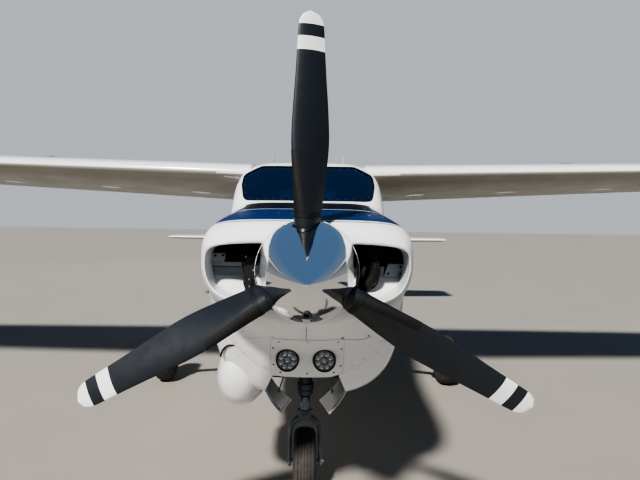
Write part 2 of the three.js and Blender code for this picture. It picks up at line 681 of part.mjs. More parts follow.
const rudderHinge = { low: [7290, 1405], high: [7985, 2870] };
function finSolid() {
  const outlines = finSections.map(([z, leadAt, chord, thickness]) => foilOutline(thickness, 0).map(([along, up]) =>
    new THREE.Vector3(up * chord, aft(leadAt + along * chord), z)));
  const hollow = loft(finSections.slice(1, 4).map(([z, leadAt, chord, thickness], i) =>
    hollowOutline(thickness, chord, skin).map(([share, up]) =>
      new THREE.Vector3(up * chord, aft(leadAt + share * chord), z + (i === 2 ? -40 : -90 + i * 90)))));
  return loft(outlines).subtract(hollow).subtract(fuselage(4600, tailEnd, -seam));
}
function finHalfAt(z, d) {
  const [, leadAt, chord, thickness] = rowAt(finSections, z);
  return chord * foilHalf(thickness, (d - leadAt) / chord);
}
const [rudderLow, rudderHigh] = [rudderHinge.low, rudderHinge.high];
const rudderNose = (share) => {
  const [d, z] = rudderLow.map((value, i) => value + share * (rudderHigh[i] - value));
  return finHalfAt(z, d) - noseInset;
};
const rudderCut = hinged(finSolid(), [0, aft(rudderLow[0]), rudderLow[1]], [0, aft(rudderHigh[0]), rudderHigh[1]],
  rudderNose, 900, 200, sidewards);
add('fin', rudderCut.fixed, 'white');
add('rudder', rudderCut.moving, 'white');

const elevator = { inner: 150, outer: 2425 };
const elevatorHingeAt = 7510;
for (const name of sideNames) {
  const side = sides[name];
  const hollow = loft(tailplaneSections.slice(0, 2).map(([x, leadAt, leadZ, chord, angle, thickness]) =>
    foilRing(side * (x < 100 ? x - 20 : x - 60), leadAt, leadZ, chord, angle, hollowOutline(thickness, chord, skin))));
  const whole = flyingSurface(tailplaneSections, side, 0).subtract(hollow).subtract(fuselage(4600, tailEnd, -seam));
  const span = elevator.outer - elevator.inner;
  const noseAt = (share) => {
    const [, leadAt, , chord, , thickness] = rowAt(tailplaneSections, elevator.inner + share * span);
    return chord * foilHalf(thickness, (elevatorHingeAt - leadAt) / chord) - noseInset;
  };
  const cut = hinged(whole, [side * elevator.inner, aft(elevatorHingeAt), tailplaneZ],
    [side * elevator.outer, aft(elevatorHingeAt), tailplaneZ], noseAt, 700, 200, upwards);
  add(`tailplane_${name}`, cut.fixed, 'white');
  add(`elevator_${name}`, cut.moving, 'white');
}

// Landing gear
const wheelSides = 24;
function turnedWheel(outline, sides) {
  const points = outline.map(([x, radius]) => new THREE.Vector2(radius, x));
  const geometry = new THREE.LatheGeometry(points, sides);
  geometry.rotateZ(Math.PI / 2);
  return geometry;
}
// A tyre's section, half of its width outwards and back, closed on itself.
function tyre(x, d, { radius, width, rimRadius }) {
  const half = width / 2;
  const outline = [[-half * 0.62, rimRadius + 1], [-half * 0.98, rimRadius + (radius - rimRadius) * 0.42],
    [-half * 0.86, rimRadius + (radius - rimRadius) * 0.8], [-half * 0.5, radius * 0.985], [0, radius],
    [half * 0.5, radius * 0.985], [half * 0.86, rimRadius + (radius - rimRadius) * 0.8],
    [half * 0.98, rimRadius + (radius - rimRadius) * 0.42], [half * 0.62, rimRadius + 1], [-half * 0.62, rimRadius + 1]];
  const geometry = turnedWheel(outline, wheelSides);
  geometry.translate(x, aft(d), radius);
  return solid(geometry);
}
function rim(x, d, { radius, width, rimRadius }, axleRadius) {
  const half = width / 2 * 0.66;
  const outline = [[-half, axleRadius], [-half, axleRadius + 16], [-half * 0.35, axleRadius + 20], [-half * 0.35, rimRadius - 14],
    [-half, rimRadius - 8], [-half, rimRadius + 0.6], [half, rimRadius + 0.6], [half, rimRadius - 8],
    [half * 0.35, rimRadius - 14], [half * 0.35, axleRadius + 20], [half, axleRadius + 16], [half, axleRadius],
    [-half, axleRadius]];
  const geometry = turnedWheel(outline, wheelSides);
  geometry.translate(x, aft(d), radius);
  return solid(geometry);
}

const mainAxleRadius = 17;
const noseAxleRadius = 12;
const mainLeg = { topX: 330, topAt: 2690, topZ: 690, topRadius: 42, footX: 1195, footZ: 262, footRadius: 27 };
const knuckleSpan = [1180, 1222];
for (const name of sideNames) {
  const side = sides[name];
  const x = side * mainTrack / 2;
  add(`main_tyre_${name}`, tyre(x, mainAxleAt, mainTyre), 'rubber');
  add(`main_rim_${name}`, rim(x, mainAxleAt, mainTyre, mainAxleRadius + 1), 'rim');
  const leg = bar([side * mainLeg.topX, aft(mainLeg.topAt), mainLeg.topZ],
    [side * mainLeg.footX, aft(mainAxleAt - 5), mainLeg.footZ], mainLeg.topRadius, mainLeg.footRadius)
    .subtract(fuselage(cabinFront, cabinBack, -seam));
  const [knuckleIn, knuckleOut] = knuckleSpan.map((value) => side * value).sort((a, b) => a - b);
  const knuckle = box(knuckleIn, knuckleOut, mainAxleAt - 42, mainAxleAt + 42, mainTyre.radius - 50.5,
    mainTyre.radius + 67.5);
  const axle = bar([side * 1200, aft(mainAxleAt), mainTyre.radius], [side * (mainTrack / 2 + 70), aft(mainAxleAt),
    mainTyre.radius], mainAxleRadius);
  add(`main_leg_${name}`, unite(leg, knuckle, axle), 'white');
}

const forkTop = 444;
function noseFork() {
  const outline = [[-92, 165], [-92, 350], [-78, 398], [-48, 430], [-14, forkTop], [14, forkTop], [48, 430], [78, 398],
    [92, 350], [92, 165], [74, 165], [74, 345], [62, 378], [38, 400], [0, 408], [-38, 400], [-62, 378], [-74, 345],
    [-74, 165]];
  const arch = frontPrism(outline, noseAxleAt - 26, noseAxleAt + 26);
  const collar = bar([0, aft(steerAt), forkTop - 30], [0, aft(steerAt), 488], 38);
  const neck = box(-32, 32, steerAt - 30, noseAxleAt + 26, forkTop - 26, forkTop + 6);
  const piston = bar([0, aft(steerAt), 470], [0, aft(steerAt), 650], 25);
  const axle = bar([-90, aft(noseAxleAt), noseTyre.radius], [90, aft(noseAxleAt), noseTyre.radius], noseAxleRadius);
  return unite(arch, collar, neck, piston, axle);
}
// The strut: outer tube with a bore for the piston, trunnion across it and brace to the firewall.
const strut = { low: 572, high: 930, radius: 36, bore: 26, boreTop: 670, trunnionZ: 860, braceLow: 800, braceHigh: 905 };
const onSteer = (z) => [0, aft(steerAt), z];
function noseStrut() {
  const tube = bar(onSteer(strut.low), onSteer(strut.high), strut.radius);
  const trunnion = bar([-190, aft(steerAt), strut.trunnionZ], [190, aft(steerAt), strut.trunnionZ], 20);
  const brace = bar(onSteer(strut.braceLow), [0, aft(firewallAt - 40), strut.braceHigh], 18)
    .add(box(-60, 60, firewallFront - 21, firewallFront - seam, strut.braceHigh - 35, strut.braceHigh + 35));
  return unite(tube, trunnion, brace).subtract(bar(onSteer(strut.low - 12), onSteer(strut.boreTop), strut.bore));
}
// Ends of the open nose gear doors, hinged on the faces of the well. Columns: aft, hinge height,
// x of the free edge, height of the free edge.
const gearDoorEnds = [[562, 698, 121, 564], [1035, 606, 82, 462]];
const gearDoorThick = 8;
function gearDoor(side) {
  return loft(gearDoorEnds.map(([d, hingeZ, freeX, freeZ]) => {
    const hinge = new THREE.Vector3(side * (wellHalf - seam), aft(d), hingeZ);
    const free = new THREE.Vector3(side * freeX, aft(d), freeZ);
    const across = free.clone().sub(hinge).normalize();
    const inwards = new THREE.Vector3(side * across.z, 0, -side * across.x).multiplyScalar(gearDoorThick);
    return [hinge, free, free.clone().add(inwards), hinge.clone().add(inwards)];
  }));
}
add('nose_strut', noseStrut(), 'grey');
add('nose_fork', noseFork(), 'grey');
add('nose_tyre', tyre(0, noseAxleAt, noseTyre), 'rubber');
add('nose_rim', rim(0, noseAxleAt, noseTyre, noseAxleRadius + 1), 'rim');
for (const name of sideNames) add(`nose_gear_door_${name}`, gearDoor(sides[name]), 'white');

export default group;
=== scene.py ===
import math
from bisect import bisect

import bmesh
import bpy
from mathutils import Matrix, Vector


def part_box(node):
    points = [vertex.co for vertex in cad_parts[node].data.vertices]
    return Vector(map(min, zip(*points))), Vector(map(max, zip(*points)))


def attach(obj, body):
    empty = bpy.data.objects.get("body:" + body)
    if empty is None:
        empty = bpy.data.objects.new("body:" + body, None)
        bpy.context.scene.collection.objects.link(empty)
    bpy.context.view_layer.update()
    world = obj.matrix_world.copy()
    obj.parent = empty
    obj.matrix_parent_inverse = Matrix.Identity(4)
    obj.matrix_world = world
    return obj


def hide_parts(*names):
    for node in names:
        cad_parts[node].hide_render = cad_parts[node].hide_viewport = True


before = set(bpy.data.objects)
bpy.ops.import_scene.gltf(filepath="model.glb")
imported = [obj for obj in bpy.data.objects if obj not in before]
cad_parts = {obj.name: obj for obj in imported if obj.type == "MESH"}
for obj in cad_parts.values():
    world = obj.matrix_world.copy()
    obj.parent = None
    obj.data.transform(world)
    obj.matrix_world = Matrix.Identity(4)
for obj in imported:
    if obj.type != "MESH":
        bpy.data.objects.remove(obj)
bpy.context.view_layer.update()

layout = {
    "spinnerReach": 0.360,      # nose tip ahead of the propeller's plane
    "hubHeight": 1.330,
    "sill": 1.240,              # joint between lower and upper cabin
    "cowlSplit": 1.215,         # joint between lower and upper cowling
    "bowlFront": 0.110,
    "bowlBack": 0.450,
    "firewall": 1.070,
    "cabinFront": 1.400,
    "cabinBack": 4.300,
    "tailEnd": 7.760,
    "cabinWall": 0.040,
    "glassThick": 0.008,
    "moveGap": 0.006,           # clearance round a moving surface
}
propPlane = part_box("spinner")[0].y + layout["spinnerReach"]
hub = Vector((0, propPlane, layout["hubHeight"]))
sides = {"right": -1, "left": 1}


def aft(d):
    return propPlane + d


# A point given by its distance aft of the propeller's plane.
def spot(x, d, z):
    return Vector((x, aft(d), z))


# The camera stands ahead of the nose at standing height and looks straight aft. Its picture is
# shifted a little, so that the nose sits left of the middle and below it.
cameraSetup = {
    "ahead": 1.94, "height": 1.54,
    "focalPixels": 500, "pictureWidth": 640, "sensor": 36,
    "shiftRight": 12.3, "shiftUp": -21.0,      # pixels
    "lean": 0.75,                              # degrees
}


def makeCamera():
    data = bpy.data.cameras.new("camera")
    data.sensor_width = cameraSetup["sensor"]
    data.lens = cameraSetup["focalPixels"] / cameraSetup["pictureWidth"] * cameraSetup["sensor"]
    data.shift_x = cameraSetup["shiftRight"] / cameraSetup["pictureWidth"]
    data.shift_y = cameraSetup["shiftUp"] / cameraSetup["pictureWidth"]
    data.clip_start, data.clip_end = 0.05, 200
    camera = bpy.data.objects.new("camera", data)
    bpy.context.scene.collection.objects.link(camera)
    lean = Matrix.Rotation(math.radians(cameraSetup["lean"]), 4, "Z")
    aim = Matrix.Rotation(math.radians(90), 4, "X") @ lean
    camera.matrix_world = Matrix.Translation((0, aft(-cameraSetup["ahead"]), cameraSetup["height"])) @ aim
    bpy.context.scene.camera = camera


makeCamera()
print("camera placed")


# Materials

def linear(hexColour):
    parts = [int(hexColour[i:i + 2], 16) / 255 for i in (1, 3, 5)]
    return tuple(c / 12.92 if c <= 0.04045 else ((c + 0.055) / 1.055) ** 2.4 for c in parts) + (1.0,)


def addNode(tree, kind, settings=None, links=None):
    node = tree.nodes.new(kind)
    for key, value in (settings or {}).items():
        if isinstance(key, str) and hasattr(node, key):
            setattr(node, key, value)
        else:
            node.inputs[key].default_value = value
    for key, source in (links or {}).items():
        tree.links.new(source, node.inputs[key])
    return node


def perMetre(millimetres):
    return 1000 / millimetres


# Every finish shares a shader with a slightly mottled colour, roughness and fine bump. Sizes are
# the real ones in millimetres: patch is the size of a colour patch, grain that of the relief.
def makeFinish(name, light, dark, roughness, patch=120, grain=1.5, relief=0.02, stretch=(1, 1, 1), **shader):
    material = bpy.data.materials.new(name)
    material.use_nodes = True
    tree = material.node_tree
    principled = tree.nodes["Principled BSDF"]
    for key, value in shader.items():
        principled.inputs[key.replace("_", " ")].default_value = value
    place = addNode(tree, "ShaderNodeTexCoord")
    scaled = addNode(tree, "ShaderNodeMapping", {"Scale": stretch}, {"Vector": place.outputs["Object"]})
    mottle = addNode(tree, "ShaderNodeTexNoise", {"Scale": perMetre(patch), "Detail": 5.0, "Roughness": 0.62},
                     {"Vector": scaled.outputs[0]})
    colour = addNode(tree, "ShaderNodeMix", {"data_type": "RGBA", 6: linear(light), 7: linear(dark)},
                     {0: mottle.outputs["Fac"]})
    low, high = roughness
    gloss = addNode(
        tree, "ShaderNodeMapRange", {"From Min": 0.3, "From Max": 0.7, "To Min": low, "To Max": high},
        {"Value": mottle.outputs["Fac"]})
    fine = addNode(
        tree, "ShaderNodeTexNoise", {"Scale": perMetre(grain), "Detail": 3.0},
        {"Vector": scaled.outputs[0]})
    bump = addNode(
        tree, "ShaderNodeBump", {"Strength": relief, "Distance": 0.001}, {"Height": fine.outputs["Fac"]})
    tree.links.new(colour.outputs[2], principled.inputs["Base Color"])
    tree.links.new(gloss.outputs[0], principled.inputs["Roughness"])
    tree.links.new(bump.outputs[0], principled.inputs["Normal"])
    return material


def nodeOf(material, kind):
    return next(n for n in material.node_tree.nodes if n.bl_idname == kind)


# Puts a second colour over a finish where mask is 1, and returns the new mix.
def overPaint(material, hexColour, mask):
    tree = material.node_tree
    principled = tree.nodes["Principled BSDF"]
    under = principled.inputs["Base Color"].links[0].from_socket
    mixed = addNode(tree, "ShaderNodeMix", {"data_type": "RGBA", 7: linear(hexColour)}, {0: mask, 6: under})
    tree.links.new(mixed.outputs[2], principled.inputs["Base Color"])
    return mixed


def doMath(tree, operation, *values, clamp=False):
    node = addNode(tree, "ShaderNodeMath", {"operation": operation, "use_clamp": clamp})
    for i, value in enumerate(values):
        if isinstance(value, (int, float)):
            node.inputs[i].default_value = value
        else:
            tree.links.new(value, node.inputs[i])
    return node.outputs[0]


finishes = {}


def addFinish(key, *look, **shader):
    finishes[key] = makeFinish(*look, **shader)


# Two-part polyurethane paint, sprayed: deep gloss with a faint orange peel.
addFinish(
    "whitePaint", "polyurethane_white", "#f1f3f5", "#e9ecef", (0.16, 0.24), patch=400, grain=4, relief=0.05,
    IOR=1.5, Coat_Weight=0.3, Coat_Roughness=0.06)
# The same paint where soot, grass and oil mist reach: a little greyer and duller.
addFinish(
    "bellyPaint", "polyurethane_white_belly", "#e6e8e9", "#cfd1d0", (0.26, 0.42), patch=180, grain=4,
    relief=0.05, IOR=1.5, Coat_Weight=0.15, Coat_Roughness=0.1)
# Wing and tail undersides: the same white paint, darkened as painted shade.
addFinish(
    "undersidePaint", "polyurethane_white_painted_shade", "#a9a59e", "#96928b", (0.3, 0.45), patch=260, grain=4,
    relief=0.05, IOR=1.45)
# Polished spun aluminium: a mirror with faint turning marks.
addFinish(
    "polishedAluminium", "aluminium_polished", "#f0f1f3", "#e4e6e9", (0.035, 0.075), patch=60, grain=0.8,
    relief=0.012, stretch=(1, 12, 1), Metallic=1.0)
# Machined and cadmium-plated steel: grey, fine tool marks.
addFinish(
    "platedSteel", "steel_plated", "#a9acae", "#8d9092", (0.28, 0.42), patch=30, grain=0.7, relief=0.05,
    Metallic=1.0)
# Hard chrome on the shock strut's piston: slick, a trace of oil, its colour darkened as painted shade.
addFinish(
    "shadedChrome", "chrome_hard_painted_shade", "#747b82", "#5f666d", (0.10, 0.2), patch=40, grain=0.6, relief=0.01,
    Metallic=1.0)
# Stainless screws and tips: bright dull metal.
addFinish(
    "stainless", "steel_stainless", "#c3c6c8", "#9b9ea0", (0.22, 0.38), patch=8, grain=0.5, relief=0.05,
    Metallic=1.0)
# Exhaust pipe in stainless steel, browned by heat.
addFinish(
    "hotSteel", "steel_heat_tinted", "#8a7a68", "#4c4239", (0.35, 0.6), patch=35, grain=1, relief=0.1,
    Metallic=0.9)
# Epoxy gear paint, brushed over forgings: mid grey with a soft sheen.
addFinish(
    "gearPaint", "epoxy_grey_gear", "#6b7882", "#56626c", (0.34, 0.5), patch=60, grain=2.5, relief=0.12,
    IOR=1.5)
# White gear paint on the main legs and wheel halves, chalky from road dust.
addFinish(
    "wheelPaint", "epoxy_white_wheel", "#dcdfe1", "#bfc1c0", (0.34, 0.52), patch=50, grain=2, relief=0.08,
    IOR=1.5)
# Vulcanised tyre rubber: near black, bloom and brown dust in patches.
addFinish(
    "tyreRubber", "rubber_tyre", "#575450", "#3b3936", (0.72, 0.92), patch=25, grain=1.2, relief=0.3,
    IOR=1.5)
# Moulded rubber for boots, seals and hoses: flat black.
addFinish(
    "sealRubber", "rubber_seal", "#1c1d1e", "#121314", (0.55, 0.75), patch=20, grain=1, relief=0.12,
    IOR=1.5)
# Blue-tinted cast acrylic: clear, polished, a hint of waviness.
addFinish(
    "tintedAcrylic", "acrylic_blue_tint", "#3f6aa8", "#3a64a2", (0.015, 0.03), patch=300, grain=40,
    relief=0.02, IOR=1.49, Transmission_Weight=0.92)
# Cabin side windows are the same acrylic in a paler grey-blue.
addFinish(
    "clearAcrylic", "acrylic_pale_tint", "#7f9dc0", "#7998bb", (0.015, 0.03), patch=300, grain=40,
    relief=0.02, IOR=1.49, Transmission_Weight=0.94)
# Clear polycarbonate lens.
addFinish(
    "clearLens", "polycarbonate_clear", "#eef2f4", "#e8edf0", (0.02, 0.05), patch=20, grain=10, relief=0.01,
    IOR=1.58, Transmission_Weight=0.95)
# Cast aluminium crankcase and barrels under grey enamel, oil-stained.
addFinish(
    "engineCasting", "casting_grey_enamel", "#4d5052", "#2d2f31", (0.5, 0.75), patch=25, grain=1.5,
    relief=0.25, Metallic=0.3)
# Baffle sheet: bare aluminium, dull and lightly scratched.
addFinish(
    "baffleSheet", "aluminium_sheet_dull", "#a3a8ad", "#858a8f", (0.38, 0.55), patch=25, grain=0.8,
    relief=0.06, stretch=(1, 1, 6), Metallic=0.75)
# Dark grey primer, also on the dials and screens.
addFinish(
    "primer", "primer_dark_grey", "#3a3d3c", "#242625", (0.6, 0.8), patch=40, grain=1.5, relief=0.15,
    IOR=1.5)
# Black crackle enamel on the instrument panel and glareshield.
addFinish(
    "crackle", "enamel_black_crackle", "#26282a", "#191b1c", (0.5, 0.7), patch=6, grain=1.2, relief=0.5,
    IOR=1.5)
# Moulded ABS trim: grey, fine leather-like texture.
addFinish(
    "mouldedTrim", "abs_moulded_grey", "#8f8f8b", "#81817d", (0.5, 0.62), patch=40, grain=1.4, relief=0.35,
    IOR=1.54)
# Nylon loop carpet: dark grey, soft.
addFinish(
    "loopCarpet", "carpet_nylon_loop", "#4a4c50", "#2d2f33", (0.85, 0.98), patch=5, grain=2.5, relief=0.9,
    IOR=1.5, Sheen_Weight=0.3, Sheen_Roughness=0.5)
# Tanned leather seat covers: warm grey, visible grain.
addFinish(
    "seatLeather", "leather_warm_grey", "#94897a", "#7a7063", (0.42, 0.58), patch=60, grain=2.2, relief=0.4,
    IOR=1.5, Sheen_Weight=0.1, Sheen_Roughness=0.4)
# Light vinyl headliner.
addFinish(
    "headliner", "vinyl_headliner", "#c9c5ba", "#bdb9ae", (0.6, 0.75), patch=50, grain=1.5, relief=0.25,
    IOR=1.5)
# Anodised black bezels.
addFinish(
    "blackAnodised", "aluminium_black_anodised", "#1a1b1d", "#101112", (0.3, 0.45), patch=15, grain=0.6,
    relief=0.05, Metallic=0.8)
# Coloured lamp lenses.
addFinish(
    "redLens", "polycarbonate_red", "#c01414", "#a80f0f", (0.04, 0.08), patch=10, grain=6, relief=0.01,
    IOR=1.58, Transmission_Weight=0.5)
addFinish(
    "greenLens", "polycarbonate_green", "#0f9a58", "#0b8149", (0.04, 0.08), patch=10, grain=6, relief=0.01,
    IOR=1.58, Transmission_Weight=0.5)
# White numerals and ticks, screen printed.
addFinish("dialWhite", "ink_white_printed", "#f2f2ee", "#e8e8e4", (0.5, 0.6), patch=5, grain=0.5, relief=0.02)


# Propeller paint: satin polyurethane, black with white, black and white bands at the tip.
bladeBands = {"tip": 0.966, "black": 0.919, "inner": 0.865}


def makeBladePaint():
    material = makeFinish(
        "polyurethane_black_satin", "#2a2f35", "#20252b", (0.36, 0.5), patch=45, grain=1.6, relief=0.06,
        IOR=1.5)
    tree = material.node_tree
    place = nodeOf(material, "ShaderNodeTexCoord").outputs["Object"]
    fromHub = addNode(tree, "ShaderNodeVectorMath", {"operation": "SUBTRACT", 1: hub}, {0: place})
    flat = addNode(
        tree, "ShaderNodeVectorMath", {"operation": "MULTIPLY", 1: (1, 0, 1)}, {0: fromHub.outputs[0]})
    radius = addNode(
        tree, "ShaderNodeVectorMath", {"operation": "LENGTH"}, {0: flat.outputs[0]}).outputs["Value"]
    tip = doMath(tree, "GREATER_THAN", radius, bladeBands["tip"])
    inner = doMath(tree, "MULTIPLY", doMath(tree, "GREATER_THAN", radius, bladeBands["inner"]),
                   doMath(tree, "LESS_THAN", radius, bladeBands["black"]))
    overPaint(material, "#eef1f2", doMath(tree, "ADD", tip, inner, clamp=True))
    return material


finishes["bladePaint"] = makeBladePaint()

# Livery: dark blue cowl top, edged by a white line and a black band that runs back over the deck
# ahead of the windshield; a slim blue and black line goes on to the tail.
livery = {
    "foot": 1.473, "footAt": 0.46,                 # lowest point of the band's edge, on the shoulder
    "riseAhead": 0.19, "riseBehind": 0.165,
    "bandAtFoot": 0.004, "bandGrow": 0.050,        # width of the black band there, and its growth per metre
    "deckAt": 0.86, "deckSlope": 0.35, "line": 0.009, "cornerBlend": 0.06,
    # side line below the windows: blue, and a black one under it, as shares of the blue one's width
    "stripeTop": 1.262, "stripeDrop": 0.0045, "stripeAt": 1.3, "fullAt": 3.0, "thin": 0.004, "full": 0.034,
    "blackFrom": 1.25, "blackTo": 1.6,
    "black": "#0b0c0f", "white": "#eef1f2", "blue": "#123263", "stripeBlue": "#12315f",
}


def makeLivery():
    material = makeFinish(
        "polyurethane_livery", "#f1f3f5", "#e9ecef", (0.34, 0.42), patch=400, grain=4, relief=0.05, IOR=1.3,
        Specular_IOR_Level=0.16)
    tree = material.node_tree
    place = nodeOf(material, "ShaderNodeTexCoord").outputs["Object"]
    axes = addNode(tree, "ShaderNodeSeparateXYZ", links={0: place})

    def calc(*steps):
        return doMath(tree, *steps)

    height = axes.outputs["Z"]
    behind = calc("SUBTRACT", axes.outputs["Y"], propPlane)
    fromFoot = calc("SUBTRACT", behind, livery["footAt"])
    aheadEdge = calc("MULTIPLY", fromFoot, -livery["riseAhead"])
    behindEdge = calc("MULTIPLY", fromFoot, livery["riseBehind"])
    edge = calc("ADD", calc("MAXIMUM", aheadEdge, behindEdge), livery["foot"])
    above = calc("SUBTRACT", height, edge)
    wide = calc(
        "ADD", calc("MULTIPLY", calc("MAXIMUM", fromFoot, 0.0), livery["bandGrow"]), livery["bandAtFoot"])
    overBand = calc("SUBTRACT", above, wide)
    aheadOfDeck = calc("MULTIPLY", calc("SUBTRACT", livery["deckAt"], behind), livery["deckSlope"])
    inside = calc("SMOOTH_MIN", overBand, aheadOfDeck, livery["cornerBlend"])
    onDeck = calc("LESS_THAN", behind, layout["cabinFront"] + 0.012)
    black = calc("MULTIPLY", calc("GREATER_THAN", above, 0.0), onDeck)
    line = calc("MULTIPLY", calc("GREATER_THAN", inside, 0.0), onDeck)
    blue = calc("MULTIPLY", calc("GREATER_THAN", inside, livery["line"]), onDeck)
    overPaint(material, livery["black"], black)
    overPaint(material, livery["white"], line)
    overPaint(material, livery["blue"], blue)
    # side line: blue over black, fading out before the nose and running level to the tail
    drop = calc("MULTIPLY", behind, livery["stripeDrop"])
    fromLine = calc("ADD", calc("SUBTRACT", height, livery["stripeTop"]), drop)
    grow = {
        "From Min": livery["stripeAt"], "From Max": livery["fullAt"],
        "To Min": livery["thin"], "To Max": livery["full"]}
    taper = addNode(tree, "ShaderNodeMapRange", grow, {"Value": behind}).outputs[0]
    under = calc("LESS_THAN", fromLine, 0.0)
    blueLine = calc("MULTIPLY", under, calc("GREATER_THAN", fromLine, calc("MULTIPLY", taper, -1.0)))
    low = calc("MULTIPLY", taper, -livery["blackFrom"])
    blackTop = calc("LESS_THAN", fromLine, low)
    blackLine = calc(
        "MULTIPLY", blackTop, calc("GREATER_THAN", fromLine, calc("MULTIPLY", taper, -livery["blackTo"])))
    started = calc("GREATER_THAN", behind, livery["stripeAt"])
    overPaint(material, livery["stripeBlue"], calc("MULTIPLY", blueLine, started))
    overPaint(material, livery["black"], calc("MULTIPLY", blackLine, started))
    return material


finishes["livery"] = makeLivery()
print("materials made:", len(finishes))

# Shapes are pairs of points and faces, joined into pieces at the end.

def loft(rings, closed=True, caps=True, loop=False):
    count = len(rings[0])
    points = [tuple(p) for ring in rings for p in ring]
    faces = []
    for r in range(len(rings) if loop else len(rings) - 1):
        here, there = r * count, (r + 1) % len(rings) * count
        for i in range(count if closed else count - 1):
            j = (i + 1) % count
            faces.append((here + i, here + j, there + j, there + i))
    if caps and closed and not loop:
        faces.append(tuple(reversed(range(count))))
        faces.append(tuple(range((len(rings) - 1) * count, len(rings) * count)))
    return points, faces


def joined(*shapes):
    points, faces = [], []
    for shapePoints, shapeFaces in shapes:
        start = len(points)
        points.extend(shapePoints)
        faces.extend(tuple(i + start for i in face) for face in shapeFaces)
    return points, faces


def moved(shape, matrix):
    return [tuple(matrix @ Vector(p)) for p in shape[0]], shape[1]


def meshOf(name, shape):
    mesh = bpy.data.meshes.new(name)
    mesh.from_pydata(shape[0], [], shape[1])
    work = bmesh.new()
    work.from_mesh(mesh)
    bmesh.ops.recalc_face_normals(work, faces=work.faces)
    work.to_mesh(mesh)
    work.free()
    return mesh


# Cuts, keeps or joins a closed shape by other closed shapes.
def carve(shape, *tools, mode="DIFFERENCE"):
    objects = [bpy.data.objects.new("work", meshOf("work", one)) for one in (shape, *tools)]
    for one in objects:
        bpy.context.scene.collection.objects.link(one)
    for tool in objects[1:]:
        modifier = objects[0].modifiers.new("cut", "BOOLEAN")
        modifier.operation, modifier.solver, modifier.object = mode, "MANIFOLD", tool
    graph = bpy.context.evaluated_depsgraph_get()
    result = bpy.data.meshes.new_from_object(objects[0].evaluated_get(graph))
    made = [tuple(v.co) for v in result.vertices], [tuple(p.vertices) for p in result.polygons]
    bpy.data.meshes.remove(result)
    for one in objects:
        mesh = one.data
        bpy.data.objects.remove(one)
        bpy.data.meshes.remove(mesh)
    return made


def prism(outline, place, low, high):
    return loft([[place(a, b, depth) for a, b in outline] for depth in (low, high)])


def sidePrism(outline, x0, x1):
    return prism(outline, lambda d, z, x: (x, aft(d), z), x0, x1)


def frontPrism(outline, d0, d1):
    return prism(outline, lambda x, z, d: (x, aft(d), z), d0, d1)


def box(x0, x1, d0, d1, z0, z1):
    return sidePrism([(d0, z0), (d1, z0), (d1, z1), (d0, z1)], x0, x1)


# A box with its edges rounded by bevel.
def block(x0, x1, d0, d1, z0, z1, bevel=0.002, segments=2, side=1):
    x0, x1 = sorted((side * x0, side * x1))
    work = bmesh.new()
    bmesh.ops.create_cube(work, size=1)
    size = Vector((x1 - x0, d1 - d0, z1 - z0))
    middle = spot((x0 + x1) / 2, (d0 + d1) / 2, (z0 + z1) / 2)
    for v in work.verts:
        v.co = Vector(a * b for a, b in zip(v.co, size)) + middle
    bmesh.ops.bevel(work, geom=work.edges[:], offset=bevel, segments=segments, profile=0.6, affect="EDGES")
    shape = [tuple(v.co) for v in work.verts], [tuple(v.index for v in f.verts) for f in work.faces]
    work.free()
    return shape


# Rounds each corner of an outline with an arc of the given radius, kept within its two edges.
def rounded(corners, radius, steps=6):
    outline = []
    count = len(corners)
    for i, corner in enumerate(corners):
        here = Vector(corner)
        before, after = Vector(corners[i - 1]) - here, Vector(corners[(i + 1) % count]) - here
        half = before.angle(after) / 2
        reach = min(radius / math.tan(half), before.length * 0.45, after.length * 0.45)
        start, end = here + before.normalized() * reach, here + after.normalized() * reach
        for k in range(steps + 1):
            t = k / steps
            bow = start * (1 - t) ** 2 + here * 2 * t * (1 - t) + end * t ** 2
            outline.append(tuple(bow))
    return outline


# Angles in equal steps round a circle, begun a share of a step late.
def around(count, late=0.0):
    return [2 * math.pi * (i + late) / count for i in range(count)]


def spun(profile, origin, axis, count=48):
    axis = Vector(axis).normalized()
    side = axis.orthogonal().normalized()
    other = axis.cross(side)
    origin = Vector(origin)
    rings = []
    for along, radius in profile:
        radius = max(radius, 1e-4)
        rings.append([origin + axis * along + (side * math.cos(a) + other * math.sin(a)) * radius
                      for a in around(count)])
    return loft(rings)


# A ring with a hole through it: its section goes round the axis and closes on itself.
def hoop(profile, origin, axis, count=48):
    points, _ = spun(profile, origin, axis, count)
    rings = [points[i:i + count] for i in range(0, len(points), count)]
    return loft(rings, loop=True)


def rod(start, end, radius, endRadius=None, count=20, edge=0.0):
    start, end = Vector(start), Vector(end)
    endRadius = radius if endRadius is None else endRadius
    length = (end - start).length
    profile = [(0, radius), (length, endRadius)]
    if edge:
        profile = [(0, radius - edge), (edge, radius), (length - edge, endRadius), (length, endRadius - edge)]
    return spun(profile, start, end - start, count)


# A round tube along a line of points, closed into a ring if asked.
def tube(line, radius, count=10, ring=False):
    line = [Vector(p) for p in line]
    total = len(line)
    normal = None
    rings = []
    for i, point in enumerate(line):
        ahead = line[(i + 1) % total] if ring or i + 1 < total else point
        back = line[i - 1] if ring or i else point
        tangent = (ahead - back).normalized()
        if normal is None:
            normal = tangent.orthogonal().normalized()
        normal = (normal - tangent * normal.dot(tangent)).normalized()
        other = tangent.cross(normal)
        size = radius[i] if isinstance(radius, (list, tuple)) else radius
        rings.append([point + (normal * math.cos(a) + other * math.sin(a)) * size for a in around(count)])
    return loft(rings, loop=ring)


